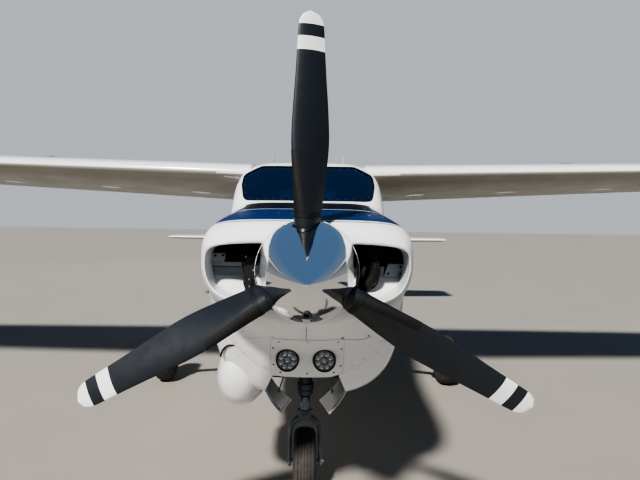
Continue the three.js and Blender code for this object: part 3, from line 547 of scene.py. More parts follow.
# Small domed heads of rivets or screws: places are pairs of a point and the way out of the skin.
def studs(places, radius=0.0026, height=0.0011, count=6):
    points, faces = [], []
    for centre, out in places:
        out = Vector(out).normalized()
        side = out.orthogonal().normalized()
        other = out.cross(side)
        start = len(points)
        for lift, size in ((-0.0004, 1.0), (height * 0.6, 0.8)):
            for a in around(count):
                points.append(
                    tuple(Vector(centre) + out * lift + (side * math.cos(a) + other * math.sin(a)) * radius
                        * size))
        points.append(tuple(Vector(centre) + out * height))
        for k in range(count):
            j = (k + 1) % count
            faces.append((start + k, start + j, start + count + j, start + count + k))
            faces.append((start + count + k, start + count + j, start + 2 * count))
    return points, faces


def smoothLine(points, steps=8, ring=False):
    points = [Vector(p) for p in points]
    count = len(points)
    line = []
    for i in range(count if ring else count - 1):
        p0 = points[i - 1] if ring or i else points[0]
        p1, p2 = points[i], points[(i + 1) % count]
        p3 = points[(i + 2) % count] if ring or i + 2 < count else p2
        for k in range(steps):
            t = k / steps
            line.append(0.5 * ((2 * p1) + (p2 - p0) * t + (2 * p0 - 5 * p1 + 4 * p2 - p3) * t * t
                               + (3 * p1 - p0 - 3 * p2 + p3) * t ** 3))
    if not ring:
        line.append(points[-1])
    return line


# Makes one piece from parts, pairs of a shape, or a list of them, and a finish. A finish is a
# name, or a function of a face's middle and its way out that gives one.
def makePiece(name, parts, body, slot, *nodes, sharp=32):
    parts = [(joined(*part) if isinstance(part, list) else part, finish) for part, finish in parts]
    mesh = meshOf(name, joined(*(part for part, _ in parts)))
    used = []
    index = 0
    for part, finish in parts:
        for face in mesh.polygons[index:index + len(part[1])]:
            chosen = finish(face.center, face.normal) if callable(finish) else finish
            if chosen not in used:
                used.append(chosen)
                mesh.materials.append(finishes[chosen])
            face.material_index = used.index(chosen)
        index += len(part[1])
    mesh.shade_smooth()
    mesh.set_sharp_from_angle(angle=math.radians(sharp))
    made = bpy.data.objects.new(name, mesh)
    bpy.context.scene.collection.objects.link(made)
    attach(made, body)
    if nodes:
        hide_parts(*nodes)
    return made


# Fuselage sections. Columns: aft, half width, height of the widest line, top, bottom,
# power of the upper curve, power of the lower curve.
stations = [
    (0.110, 0.385, 1.335, 1.500, 1.100, 3.2, 2.0),
    (0.150, 0.430, 1.340, 1.526, 1.070, 3.6, 2.0),
    (0.220, 0.458, 1.345, 1.543, 1.025, 4.0, 2.0),
    (0.330, 0.470, 1.348, 1.555, 0.965, 4.2, 2.0),
    (0.440, 0.478, 1.345, 1.565, 0.785, 4.4, 2.1),
    (0.560, 0.485, 1.330, 1.574, 0.664, 4.7, 3.1),
    (0.800, 0.495, 1.290, 1.592, 0.632, 5.2, 4.2),
    (1.070, 0.505, 1.260, 1.612, 0.590, 5.6, 4.4),
    (1.420, 0.530, 1.250, 1.650, 0.572, 5.7, 4.3),
    (1.600, 0.545, 1.260, 1.800, 0.566, 5.6, 4.2),
    (1.780, 0.555, 1.270, 1.940, 0.563, 5.4, 4.1),
    (2.100, 0.562, 1.275, 1.985, 0.562, 5.2, 4.0),
    (2.700, 0.562, 1.275, 1.990, 0.568, 5.2, 3.9),
    (3.200, 0.545, 1.270, 1.975, 0.595, 4.8, 3.6),
    (3.500, 0.520, 1.270, 1.930, 0.625, 4.0, 3.4),
    (3.900, 0.475, 1.265, 1.810, 0.690, 3.2, 3.1),
    (4.300, 0.425, 1.260, 1.700, 0.765, 2.7, 2.9),
    (5.200, 0.310, 1.250, 1.600, 0.905, 2.4, 2.5),
    (6.200, 0.205, 1.245, 1.500, 1.030, 2.2, 2.3),
    (7.200, 0.110, 1.235, 1.385, 1.100, 2.1, 2.1),
    (7.760, 0.042, 1.225, 1.290, 1.150, 2.0, 2.0),
]


# Reads a table at any value of its first column, smoothly and without overshoot.
def smoothTable(rows):
    keys = [row[0] for row in rows]
    columns = list(zip(*rows))[1:]
    slopes = []
    for column in columns:
        steps = [(b - a) / (q - p) for a, b, p, q in zip(column, column[1:], keys, keys[1:])]
        inner = [0.0 if s * t <= 0 else 2 * s * t / (s + t) for s, t in zip(steps, steps[1:])]
        slopes.append([steps[0], *inner, steps[-1]])

    def read(value):
        i = max(0, min(len(keys) - 2, bisect(keys, value) - 1))
        width = keys[i + 1] - keys[i]
        t = (value - keys[i]) / width
        return [(2 * t ** 3 - 3 * t * t + 1) * column[i] + (t ** 3 - 2 * t * t + t) * width * slope[i]
                + (3 * t * t - 2 * t ** 3) * column[i + 1] + (t ** 3 - t * t) * width * slope[i + 1]
                for column, slope in zip(columns, slopes)]
    return read


bodyAt = smoothTable(stations)
ringCount = 168


def bodyPoint(d, turn, inset=0.0):
    half, widest, top, bottom, upper, lower = bodyAt(d)
    power = upper if math.sin(turn) > 0 else lower
    rise = (top - widest if math.sin(turn) > 0 else widest - bottom) - inset
    across, up = math.cos(turn), math.sin(turn)
    return spot(
        (half - inset) * math.copysign(abs(across) ** (2 / power), across), d,
        widest + rise * math.copysign(abs(up) ** (2 / power), up))


def bodyRing(d, inset=0.0, count=ringCount):
    return [bodyPoint(d, (i + 0.5) / count * 2 * math.pi, inset) for i in range(count)]


def spread(low, high, step):
    count = max(1, round((high - low) / step))
    return [low + (high - low) * i / count for i in range(count + 1)]


def bodySolid(low, high, inset=0.0, step=0.05, count=ringCount):
    return loft([bodyRing(d, inset, count) for d in spread(low, high, step)])


def bodyShell(low, high, outer, inner, step=0.04):
    rows = spread(low, high, step)
    return loft([bodyRing(d, outer) for d in rows] + [bodyRing(d, inner) for d in reversed(rows)], loop=True)


# How far out a point is on the section at d: 1 on the skin, less inside.
def reachAt(d, x, z):
    half, widest, top, bottom, upper, lower = bodyAt(d)
    power, rise = (upper, top - widest) if z > widest else (lower, widest - bottom)
    return (abs(x) / half) ** power + (abs(z - widest) / rise) ** power


# The distance aft at which the skin passes through x and z, where the body widens to the rear.
def depthAt(x, z, low, high):
    for _ in range(40):
        middle = (low + high) / 2
        if reachAt(middle, x, z) > 1:
            low = middle
        else:
            high = middle
    return (low + high) / 2


def halfAt(d, z):
    half, widest, top, bottom, upper, lower = bodyAt(d)
    power, rise = (upper, top - widest) if z > widest else (lower, widest - bottom)
    return half * max(0.0, 1 - (abs(z - widest) / rise) ** power) ** (1 / power)


def onSide(d, z, side, lift=0.0):
    return spot(side * (halfAt(d, z) + lift), d, z)


def sideOut(d, z, side):
    e = 0.004
    along = onSide(d + e, z, side) - onSide(d - e, z, side)
    up = onSide(d, z + e, side) - onSide(d, z - e, side)
    out = along.cross(up).normalized()
    return out if out.x * side > 0 else -out


def sideHead(d, z, side):
    return onSide(d, z, side), sideOut(d, z, side)


def outwardFinish(outside, inside):
    def choose(middle, out):
        _, widest, *_ = bodyAt(middle.y - propPlane)
        away = Vector((middle.x, 0, (middle.z - widest) * 0.8))
        return outside if out.dot(away) > 0 else inside
    return choose


def skinOut(point):
    x, d, z, e = point[0], point[1] - propPlane, point[2], 0.001
    out = Vector((reachAt(d, x + e, z) - reachAt(d, x - e, z), reachAt(d + e, x, z) - reachAt(d - e, x, z),
                  reachAt(d, x, z + e) - reachAt(d, x, z - e)))
    return out.normalized()


# Points at an even pitch along a line.
def evenly(line, pitch, ring=False):
    line = [Vector(p) for p in line] + ([Vector(line[0])] if ring else [])
    lengths = [0.0]
    for a, b in zip(line, line[1:]):
        lengths.append(lengths[-1] + (b - a).length)
    count = max(1, round(lengths[-1] / pitch))
    points = []
    for k in range(count if ring else count + 1):
        goal = lengths[-1] * k / count
        i = min(len(line) - 2, max(0, bisect(lengths, goal) - 1))
        step = lengths[i + 1] - lengths[i]
        points.append(line[i].lerp(line[i + 1], (goal - lengths[i]) / step if step else 0))
    return points


def ringRivets(d, pitch, keep=lambda p: True):
    return [(p, skinOut(p)) for p in evenly(bodyRing(d, 0, 360), pitch, ring=True) if keep(p)]


# Nose bowl: rounded front with two air inlets whose lips roll inwards over a ramp.
bowl = {
    "thick": 0.003,
    # share of the front section's size and distance aft, from its edge to the shaft hole
    "face": [(1.0, 0.110), (0.975, 0.1035), (0.94, 0.0985), (0.88, 0.0945), (0.78, 0.0915), (0.6, 0.090),
             (0.40, 0.090), (0.27, 0.090)],
}
inlet = {
    # edge of the opening as distance from the middle and height
    "edge": [(0.192, 1.437), (0.245, 1.437), (0.300, 1.434), (0.350, 1.429), (0.385, 1.421), (0.410, 1.409),
             (0.425, 1.392), (0.431, 1.360), (0.4295, 1.325), (0.422, 1.295), (0.410, 1.268), (0.392, 1.245),
             (0.366, 1.2285), (0.330, 1.2135), (0.285, 1.2015), (0.235, 1.1945), (0.206, 1.197),
             (0.192, 1.214), (0.186, 1.260), (0.180, 1.330), (0.176, 1.395), (0.179, 1.424)],
    "lip": 0.013, "back": 0.335, "wallEndsAt": 0.150, "openInside": 0.262, "pitch": 0.007,
    "ramp": [(0.12, 1.186), (0.16, 1.192), (0.20, 1.208), (0.25, 1.240), (0.29, 1.268), (0.335, 1.292)],
}
rampAt = smoothTable(inlet["ramp"])


def faceRing(share, d, count=ringCount):
    edge = bodyRing(layout["bowlFront"], 0, count)
    return [spot(p.x * share, d, hub.z + (p.z - hub.z) * share) for p in edge]


def faceDepth(x, z):
    power = 2.8
    front = layout["bowlFront"]
    if reachAt(front, x, z) >= 1:
        return depthAt(x, z, front, 0.6)
    share = reachAt(front, x, z) ** (1 / power)
    rows = bowl["face"]
    for (s1, d1), (s0, d0) in zip(rows, rows[1:]):
        if share >= s0:
            return d0 + (d1 - d0) * (share - s0) / (s1 - s0)
    return rows[-1][1]


def inletOutline(side, grow):
    line = evenly(smoothLine([(x, z, 0) for x, z in inlet["edge"]], 6, ring=True), inlet["pitch"], ring=True)
    outline = []
    for i, point in enumerate(line):
        way = (line[(i + 1) % len(line)] - line[i - 1]).normalized()
        outline.append((side * (point.x - way.y * grow), point.y + way.x * grow))
    return outline if side > 0 else list(reversed(outline))


def inletLip(side):
    lip = inlet["lip"]
    rings = []
    for k in range(9):
        turn = k / 8 * math.pi / 2
        grow, drop = lip * (1 - math.sin(turn)), lip * (1 - math.cos(turn))
        rings.append([(x, aft(faceDepth(x, z) + drop), z) for x, z in inletOutline(side, grow)])
    outline = inletOutline(side, 0)
    for d in spread(0.17, inlet["back"], 0.0165):
        floor = rampAt(d)[0]
        rings.append([(x, aft(max(d, faceDepth(x, z) + lip)), max(z, floor)) for x, z in outline])
    points, faces = loft(rings, caps=False)

    def nearHub(i):
        return abs(points[i][0]) < inlet["openInside"] and points[i][1] > aft(inlet["wallEndsAt"])

    return points, [face for face in faces if not all(nearHub(i) for i in face)]


# The front of the wheel well, wider towards its foot so that it clears the doors.
def wellMouth(start, end, top):
    half, foot = well["narrowHalf"], 0.5
    right = [(half, top)] + [(half, well["chinZ"])] * (top > well["chinZ"])
    right.append((half + well["flare"] * (well["chinZ"] - foot), foot))
    return frontPrism(right + [(-x, z) for x, z in reversed(right)], start, end)


def bowlShape():
    back, front = layout["bowlBack"], layout["bowlFront"]
    rows = [back - (back - front) * (i / 26) ** 0.8 for i in range(27)]
    outer = [bodyRing(d) for d in rows] + [faceRing(s, d) for s, d in bowl["face"][1:]]
    inner = [bodyRing(d + bowl["thick"] * (d < 0.2), bowl["thick"]) for d in rows[:-1]]
    inner += [faceRing(s * 0.985, d + bowl["thick"]) for s, d in bowl["face"]]
    closed = loft(outer + list(reversed(inner)), loop=True)
    cuts = [frontPrism(inletOutline(side, inlet["lip"]), 0.04, 0.42) for side in (-1, 1)]
    cuts += [
        rod((side * lamp["x"], aft(0.25), lamp["z"]), (side * lamp["x"], aft(0.47), lamp["z"]),
            lamp["radius"], count=48) for side in (-1, 1)]
    cuts.append(wellMouth(well["frontAt"], 0.5, well["chinZ"]))
    return carve(closed, *cuts)


lamp = {"x": 0.0855, "z": 0.888, "radius": 0.053}
well = {
    "half": 0.214, "narrowHalf": 0.160, "flare": 0.40, "widensAt": 0.555, "frontAt": 0.438, "chinZ": 0.786,
    "top": 0.800, "backAt": 1.040}

makePiece("nose_bowl_skin", [(bowlShape(), "livery")] + [(inletLip(side), "whitePaint") for side in (-1, 1)],
          "airframe", "white_paint", "nose_bowl")

# Cowling halves in thin sheet, split along the sides.
cowl = {"thick": 0.003, "split": 0.0014}
everything = (-0.9, 0.9, 0.0, 8.4)


def cowlShape(upper):
    shell = bodyShell(layout["bowlBack"] + 0.0022, layout["firewall"] - 0.0012, 0.0, cowl["thick"], 0.02)
    if upper:
        return carve(shell, box(*everything, 0.2, layout["cowlSplit"] + cowl["split"]))
    return carve(
        shell, box(*everything, layout["cowlSplit"] - cowl["split"], 2.2),
        wellMouth(0.4, well["widensAt"] + 0.01, well["top"]),
        box(-well["half"], well["half"], well["widensAt"], well["backAt"], 0.3, well["top"]))


# The exhaust fairing low on one side. Columns: aft, x, height, half width, half height.
fairingAt = smoothTable([
    (0.500, -0.325, 0.800, 0.004, 0.004),
    (0.508, -0.326, 0.794, 0.040, 0.052),
    (0.530, -0.330, 0.776, 0.070, 0.092),
    (0.570, -0.336, 0.752, 0.095, 0.126),
    (0.680, -0.340, 0.722, 0.124, 0.164),
    (0.820, -0.338, 0.708, 0.136, 0.176),
    (1.062, -0.338, 0.706, 0.136, 0.168),
])


def fairingShape():
    rings = []
    for d in [0.5 + 0.562 * (i / 40) ** 1.7 for i in range(41)]:
        x, z, wide, tall = fairingAt(d)
        rings.append([(x + wide * math.cos(a), aft(d), z + tall * math.sin(a)) for a in around(64)])
    return loft(rings)


makePiece("upper_cowl_skin", [(cowlShape(True), "livery")], "airframe", "blue_paint", "upper_cowl")
lowerCowlParts = [(cowlShape(False), "whitePaint"), (fairingShape(), "whitePaint")]
makePiece("lower_cowl_skin", lowerCowlParts, "airframe", "white_paint", "lower_cowl")

frontShell = carve(
    bodyShell(layout["firewall"] + 0.0006, layout["cabinFront"] - 0.0006, 0.0, 0.003, 0.03),
    box(-well["half"], well["half"], 1.0, 1.11, 0.3, 0.7))
makePiece("front_fuselage_skin", [(frontShell, "livery")], "airframe", "white_paint", "front_fuselage")
print("cowling made")

# Cabin: shell as thick as the real wall, with its door and window openings.
doorOutline = [(1.500, 0.860), (2.520, 0.860), (2.540, 1.000), (2.540, 1.722), (1.745, 1.722), (1.500, 1.480)]
doorGap = {"front": 0.007, "rear": 0.012, "top": 0.008, "bottom": 0.008}
windowOutlines = {
    "door": [(1.640, 1.300), (2.440, 1.300), (2.440, 1.660), (1.800, 1.660), (1.640, 1.500)],
    "middle": [(2.660, 1.300), (3.140, 1.300), (3.140, 1.660), (2.660, 1.670)],
    "rear": [(3.260, 1.300), (3.720, 1.330), (3.600, 1.560), (3.430, 1.640), (3.260, 1.655)],
}
frontOutlines = {
    "windshield": ([(-0.440, 1.662), (0.440, 1.662), (0.474, 1.780), (0.470, 1.856), (0.340, 1.926),
        (-0.340, 1.926), (-0.470, 1.856), (-0.474, 1.780)], 1.38, 1.80),
    "rear_window": ([(-0.300, 1.745), (0.300, 1.745), (0.330, 1.800), (0.300, 1.880), (-0.300, 1.880),
        (-0.330, 1.800)], 3.56, 4.25)}
cornerRadius = {"door": 0.07, "window": 0.06, "windshield": 0.05}


def reach(side):
    return (0.3, 0.7) if side > 0 else (-0.7, -0.3)


def doorCut(side, inset=False):
    corners = doorOutline
    if inset:
        corners = [(d + doorGap["front"] if d < 2 else d - doorGap["rear"],
                    z + doorGap["bottom"] if z < 1.25 else z - doorGap["top"]) for d, z in doorOutline]
    return sidePrism(rounded(corners, cornerRadius["door"]), *reach(side))


def shrunk(corners, gap):
    mid = [sum(values) / len(corners) for values in zip(*corners)]
    return [tuple(v - math.copysign(gap, v - m) for v, m in zip(corner, mid)) for corner in corners]


def windowCut(name, side, gap=0.0):
    return sidePrism(rounded(shrunk(windowOutlines[name], gap), cornerRadius["window"]), *reach(side))


def frontCut(name, gap=0.0):
    corners, low, high = frontOutlines[name]
    return frontPrism(rounded(shrunk(corners, gap), cornerRadius["windshield"]), low, high)


cabinBody = bodyShell(layout["cabinFront"] + 0.0006, layout["cabinBack"], 0.0, layout["cabinWall"], 0.03)
openings = [frontCut("windshield"), frontCut("rear_window")]
for side in (-1, 1):
    openings += [doorCut(side), windowCut("middle", side), windowCut("rear", side)]
cabinOpen = carve(cabinBody, *openings)
lowerCabin = carve(cabinOpen, box(*everything, layout["sill"] - 0.0005, 2.3))
upperCabin = carve(cabinOpen, box(*everything, 0.3, layout["sill"] + 0.0005))
makePiece(
    "cabin_lower_skin", [(lowerCabin, outwardFinish("livery", "mouldedTrim"))], "airframe", "white_paint",
    "cabin_lower")
makePiece("cabin_upper_skin", [(upperCabin, outwardFinish("livery", "headliner"))], "airframe", "white_paint",
          "cabin_upper")

# Glazing sits just inside the skin line.
glass = {"inset": 0.006, "gap": 0.0008}
glazing = bodyShell(
    layout["cabinFront"] + 0.005, layout["cabinBack"] - 0.005, glass["inset"],
    glass["inset"] + layout["glassThick"], 0.03)
makePiece(
    "windshield_pane", [(carve(glazing, frontCut("windshield", glass["gap"]), mode="INTERSECT"),
        "tintedAcrylic")], "airframe", "glass", "windshield")
makePiece(
    "rear_window_pane", [(carve(glazing, frontCut("rear_window", glass["gap"]), mode="INTERSECT"),
        "clearAcrylic")], "airframe", "glass", "rear_window")
for name, side in sides.items():
    for place in ("middle", "rear"):
        pane = carve(glazing, windowCut(place, side, glass["gap"]), mode="INTERSECT")
        makePiece(
            f"window_{place}_{name}_pane", [(pane, "clearAcrylic")], "airframe", "glass",
            f"window_{place}_{name}")
    door = carve(carve(cabinBody, doorCut(side, inset=True), mode="INTERSECT"), windowCut("door", side))
    makePiece(f"door_{name}_skin", [(door, outwardFinish("livery", "mouldedTrim"))], f"cabin_door_{name}",
              "white_paint", f"door_{name}")
    pane = carve(glazing, windowCut("door", side, glass["gap"]), mode="INTERSECT")
    makePiece(
        f"door_{name}_pane", [(pane, "clearAcrylic")], f"cabin_door_{name}", "glass", f"door_glass_{name}")
print("cabin made")

# Tail cone behind the cabin, closed by a rounded end.
tailRings = [bodyRing(d, 0, 120) for d in spread(layout["cabinBack"] + 0.0006, layout["tailEnd"], 0.1)]
tailEnd = bodyAt(layout["tailEnd"])
tailMiddle = Vector((0, 0, (tailEnd[2] + tailEnd[3]) / 2))
for k in range(1, 6):
    turn = k / 6 * math.pi / 2
    tailRings.append(
        [Vector((p.x * math.cos(turn), p.y + 0.022 * math.sin(turn),
            tailMiddle.z + (p.z - tailMiddle.z) * math.cos(turn)))
            for p in bodyRing(layout["tailEnd"], 0, 120)])
makePiece("tail_cone_skin", [(loft(tailRings), "livery")], "airframe", "white_paint", "tail_cone")

# Propeller: polished spinner with blade holes and a screwed rim, hub, and three blades.
spinner = {
    # distance aft and radius, from the tip to the rim
    "outline": [(-0.360, 0.0), (-0.358, 0.0065), (-0.342, 0.0225), (-0.300, 0.0585), (-0.230, 0.1045),
                (-0.150, 0.1445), (-0.060, 0.1805), (0.020, 0.2030), (0.070, 0.2100)],
    "thick": 0.004, "rimAt": 0.052, "screws": 30, "holeSpare": 0.006, "holeAhead": 0.022,
}
bladeTurns = around(3)


def onBlade(turn, radius):
    return spot(radius * math.sin(turn), 0, hub.z + radius * math.cos(turn))


# Blade sections. Columns: radius, chord, thickness, angle to the propeller's plane.
bladeSections = [
    (0.165, 0.132, 0.076, 48), (0.270, 0.146, 0.060, 43), (0.360, 0.157, 0.044, 37),
    (0.500, 0.168, 0.027, 29), (0.620, 0.154, 0.020, 24), (0.760, 0.130, 0.015, 20),
    (0.880, 0.113, 0.011, 17), (0.965, 0.102, 0.008, 15), (1.002, 0.070, 0.006, 14),
    (1.018, 0.010, 0.004, 14)]
bladeAt = smoothTable(bladeSections)
bladeFine = {"camber": 0.03, "leadShare": 0.45, "shank": 0.047, "root": 0.165, "tip": 1.0176, "sides": 48,
             "bootEnd": 0.472, "bootShare": 0.2}


def foilHalf(thickness, share):
    return 5 * thickness * (
        0.2969 * math.sqrt(share) - 0.126 * share - 0.3516 * share ** 2 + 0.2843 * share ** 3
        - 0.1036 * share ** 4)


def foilRise(camber, share):
    return 4 * camber * share * (1 - share)


def foilOutline(thickness, camber, count, edge=0.0008):
    outline = []
    for turn in around(count, 0.5):
        share = (1 + math.cos(turn)) / 2
        half = foilHalf(thickness, share) + edge
        outline.append((share, foilRise(camber, share) + (half if turn < math.pi else -half)))
    return outline


# A point of a blade: along is the share of the chord from the leading edge, up the height in chords.
def bladePoint(turn, radius, along, up, chord, pitch):
    out, ahead = Vector((math.sin(turn), 0, math.cos(turn))), Vector((-math.cos(turn), 0, math.sin(turn)))
    forwards = Vector((0, -1, 0))
    tilt = math.radians(pitch)
    lead = ahead * math.cos(tilt) + forwards * math.sin(tilt)
    face = forwards * math.cos(tilt) - ahead * math.sin(tilt)
    return hub + out * radius + lead * (bladeFine["leadShare"] - along) * chord + face * up * chord


def bladeRing(turn, radius, count=None, grow=0.0):
    chord, thickness, pitch = bladeAt(radius)
    outline = foilOutline(thickness / chord, bladeFine["camber"], count or bladeFine["sides"])
    return [
        bladePoint(turn, radius, share + (share - 0.5) * 2 * grow / chord, up * (1 + 2 * grow / thickness),
            chord, pitch) for share, up in outline]


def bladeShape(turn):
    low, high = bladeFine["root"], bladeFine["tip"]
    blade = loft([bladeRing(turn, low + (high - low) * (1 - (1 - i / 74) ** 1.4)) for i in range(75)])
    shank = rod(onBlade(turn, 0.1125), onBlade(turn, low + 0.004), bladeFine["shank"], count=48)
    return carve(blade, shank, mode="UNION")


# Rubber de-icing boot over the leading edge, from the root outwards, and its clamp.
def bootShape(turn):
    rings = []
    for r in spread(0.236, bladeFine["bootEnd"], 0.012):
        outer, inner = bladeRing(turn, r, 96, 0.0012), bladeRing(turn, r, 96, -0.0004)
        keep = [i for i, a in enumerate(around(96, 0.5)) if (1 + math.cos(a)) / 2 < bladeFine["bootShare"]]
        rings.append([outer[i] for i in keep] + [inner[i] for i in reversed(keep)])
    return loft(rings)


def cuffShape(turn):
    return loft([bladeRing(turn, r, 64, grow)
                 for r, grow in ((0.2150, -0.0005), (0.2155, 0.0022), (0.2345, 0.0022), (0.2350, -0.0005))])


def spinnerShape():
    line = smoothLine([(a, r, 0) for a, r in spinner["outline"]], 6)
    outer = [(p.x, p.y) for p in line]
    inner = [(a + spinner["thick"], max(r - spinner["thick"], 0)) for a, r in outer if r > 0.02]
    axis = Vector((0, 1, 0))
    rings = []
    for a, r in outer + [(a, r) for a, r in reversed(inner)]:
        rings.append([hub + axis * a + Vector((math.cos(t), 0, math.sin(t))) * max(r, 1e-4)
                      for t in around(144)])
    return carve(loft(rings), *(bladeHole(turn) for turn in bladeTurns))


# Each hole follows the blade's root, with a wider gap ahead of it.
def bladeHole(turn):
    def grown(radius):
        ring = bladeRing(turn, bladeFine["root"], 64, spinner["holeSpare"])
        ahead = [max(0.0, propPlane - p.y) / 0.07 for p in ring]
        lift = (onBlade(turn, 1) - hub) * (radius - bladeFine["root"])
        return [p + lift - Vector((0, spinner["holeAhead"] * share ** 2, 0)) for p, share in zip(ring, ahead)]
    return loft([grown(0.09), grown(0.27)])


def rimScrews():
    places = []
    for turn in around(spinner["screws"], 0.5):
        near = min(abs(math.remainder(turn - math.pi / 2 + t, 2 * math.pi)) for t in bladeTurns)
        out = Vector((math.cos(turn), -0.14, math.sin(turn)))
        if near > 0.30:
            places.append((spot(0, spinner["rimAt"], hub.z) + Vector((out.x, 0, out.z)) * 0.2083, out))
    return studs(places, 0.0042, 0.0016, 10)


rimLip = spun(
    [(0.0660, 0.2085), (0.0665, 0.2112), (0.0700, 0.2118), (0.0735, 0.2110), (0.0738, 0.2060),
        (0.0700, 0.2050)], hub, (0, 1, 0), 144)
makePiece("spinner_shell", [(spinnerShape(), "polishedAluminium"), (rimScrews(), "stainless")], "propeller",
          "polished_metal", "spinner", sharp=24)
makePiece("spinner_bulkhead", [(rimLip, "wheelPaint")], "propeller", "steel")

hubShape = [
    spun([(-0.090, 0.0), (-0.090, 0.050), (-0.080, 0.060), (-0.060, 0.090), (0.058, 0.092), (0.060, 0.199),
        (0.068, 0.199), (0.070, 0.092), (0.098, 0.090), (0.100, 0.038), (0.300, 0.038), (0.300, 0.0)], hub,
        (0, 1, 0), 64)]
for turn in bladeTurns:
    hubShape.append(
        spun([(0.040, 0.050), (0.045, 0.056), (0.120, 0.056), (0.124, 0.0605), (0.140, 0.0605),
            (0.144, 0.056), (0.150, 0.054)], hub, onBlade(turn, 1) - hub, 48))
makePiece("hub_casting", [(hubShape, "platedSteel")], "propeller", "steel", "propeller_hub")

for i, turn in enumerate(bladeTurns):
    makePiece(
        f"blade_{i + 1}_painted", [(bladeShape(turn), "bladePaint"), (bootShape(turn), "sealRubber"),
            (cuffShape(turn), "sealRubber")], "propeller", "blade_paint", f"blade_{i + 1}", sharp=50)
print("propeller made")

# Flying surfaces. Columns: distance from the centre, leading edge aft, leading edge height, chord,
# nose-up angle, thickness over chord.
wingSections = [
    (0.430, 1.777, 1.886, 1.692, 5.6, 0.127),
    (3.000, 1.835, 1.955, 1.460, 4.2, 0.117),
    (5.380, 1.890, 2.015, 1.240, 2.8, 0.102),
    (5.600, 1.990, 2.031, 0.980, 2.6, 0.050),
]
tailplaneSections = [
    (0.060, 6.820, 1.186, 1.120, 0.0, 0.095),
    (2.440, 7.100, 1.186, 0.780, 0.0, 0.085),
    (2.540, 7.160, 1.186, 0.640, 0.0, 0.065),
]
# Fin. Columns: height, leading edge aft, chord, thickness over chord.
finSections = [
    (1.330, 5.350, 2.430, 0.035),
    (1.560, 6.150, 1.670, 0.062),
    (1.720, 6.480, 1.380, 0.080),
    (2.880, 7.470, 0.765, 0.085),
    (2.950, 7.640, 0.540, 0.050),
]
surface = {"points": 84, "wingCamber": 0.018, "tipRings": 9, "thinTip": 0.14, "edge": 0.0009}


def rowAt(rows, value):
    i = max(1, next((k for k, row in enumerate(rows) if row[0] >= value), len(rows) - 1))
    low, high = rows[i - 1], rows[i]
    share = (value - low[0]) / (high[0] - low[0])
    return [a + (b - a) * share for a, b in zip(low, high)]


def foilPoint(x, lead, height, chord, angle, share, up):
    flat, drop = math.cos(math.radians(angle)), math.sin(math.radians(angle))
    return spot(x, lead + chord * (share * flat + up * drop), height + chord * (up * flat - share * drop))


def surfaceRing(row, side, camber):
    x, lead, height, chord, angle, thickness = row
    outline = foilOutline(thickness, camber, surface["points"], surface["edge"] / chord)
    return [foilPoint(side * x, lead, height, chord, angle, share, up) for share, up in outline]


# Sections out to the tip, which is rounded both in plan and in front view.
def surfaceRows(sections, step):
    inner, outer = sections[-2], sections[-1]
    rows = []
    for a, b in zip(sections[:-2], sections[1:-1]):
        rows += [rowAt(sections, x) for x in spread(a[0], b[0], step)[:-1]]
    for k in range(surface["tipRings"] + 1):
        out = math.sin(k / surface["tipRings"] * math.pi / 2)
        shrink = 1 - math.sqrt(max(0.0, 1 - out ** 2))
        row = [a + (b - a) * shrink for a, b in zip(inner, outer)]
        row[0] = inner[0] + (outer[0] - inner[0]) * out
        row[5] = inner[5] * (
            surface["thinTip"] + (1 - surface["thinTip"]) * math.sqrt(max(0.0, 1 - out ** 2)))
        rows.append(row)
    return rows


def biggest(shape):
    points, faces = shape
    parent = list(range(len(points)))

    def root(i):
        while parent[i] != i:
            parent[i] = parent[parent[i]]
            i = parent[i]
        return i

    for face in faces:
        for i in face[1:]:
            parent[root(i)] = root(face[0])
    groups = {}
    for face in faces:
        groups.setdefault(root(face[0]), []).append(face)
    kept = max(groups.values(), key=len)
    used = sorted({i for face in kept for i in face})
    place = {old: new for new, old in enumerate(used)}
    return [points[i] for i in used], [tuple(place[i] for i in face) for face in kept]


def placeOn(sections, x, share, camber):
    _, lead, height, chord, angle, thickness = rowAt(sections, x)
    return foilPoint(
        x, lead, height, chord, angle, share, foilRise(camber, share)), chord * foilHalf(thickness, share)


# Cuts a hinged surface with a round nose out of a solid, about a straight hinge line.
hingeCut = {"noseSides": 40, "noseInset": 0.0008, "noseGap": 0.010, "wingEndGap": 0.012}


def hinged(whole, start, end, radiusAt, reachBack, tall, sideways=False, endGap=None):
    gap = layout["moveGap"]
    start, end = Vector(start), Vector(end)
    gapShare = (endGap or gap) / (end - start).length
    up = Vector((tall, 0, 0)) if sideways else Vector((0, 0, tall))
    back = Vector((0, reachBack, 0))
    along = (end - start).normalized()
    first = (Vector((0, 1, 0)) - along * along.y).normalized()
    second = first.cross(along)

    def wedge(trim):
        return loft([[p + up, p - up, p - up + back, p + up + back]
                     for p in (start.lerp(end, trim), start.lerp(end, 1 - trim))])

    def nose(trim, spare):
        rings = []
        for share in [trim + (1 - 2 * trim) * k / 8 for k in range(9)]:
            radius = radiusAt(share) + spare
            rings.append([start.lerp(end, share) + (first * math.cos(a) + second * math.sin(a)) * radius
                          for a in around(hingeCut["noseSides"], 0.5)])
        return loft(rings)

    fixed = biggest(carve(whole, wedge(0), nose(0, hingeCut["noseGap"])))
    moving = biggest(carve(carve(whole, wedge(gapShare), mode="INTERSECT"), nose(gapShare, 0), mode="UNION"))
    return fixed, moving


flap = {"inner": 0.640, "outer": 3.145, "share": 0.72}
aileron = {"inner": 3.185, "outer": 5.330, "share": 0.76}
bodyBlock = bodySolid(layout["cabinFront"], layout["cabinBack"], -0.0006, 0.06, 120)


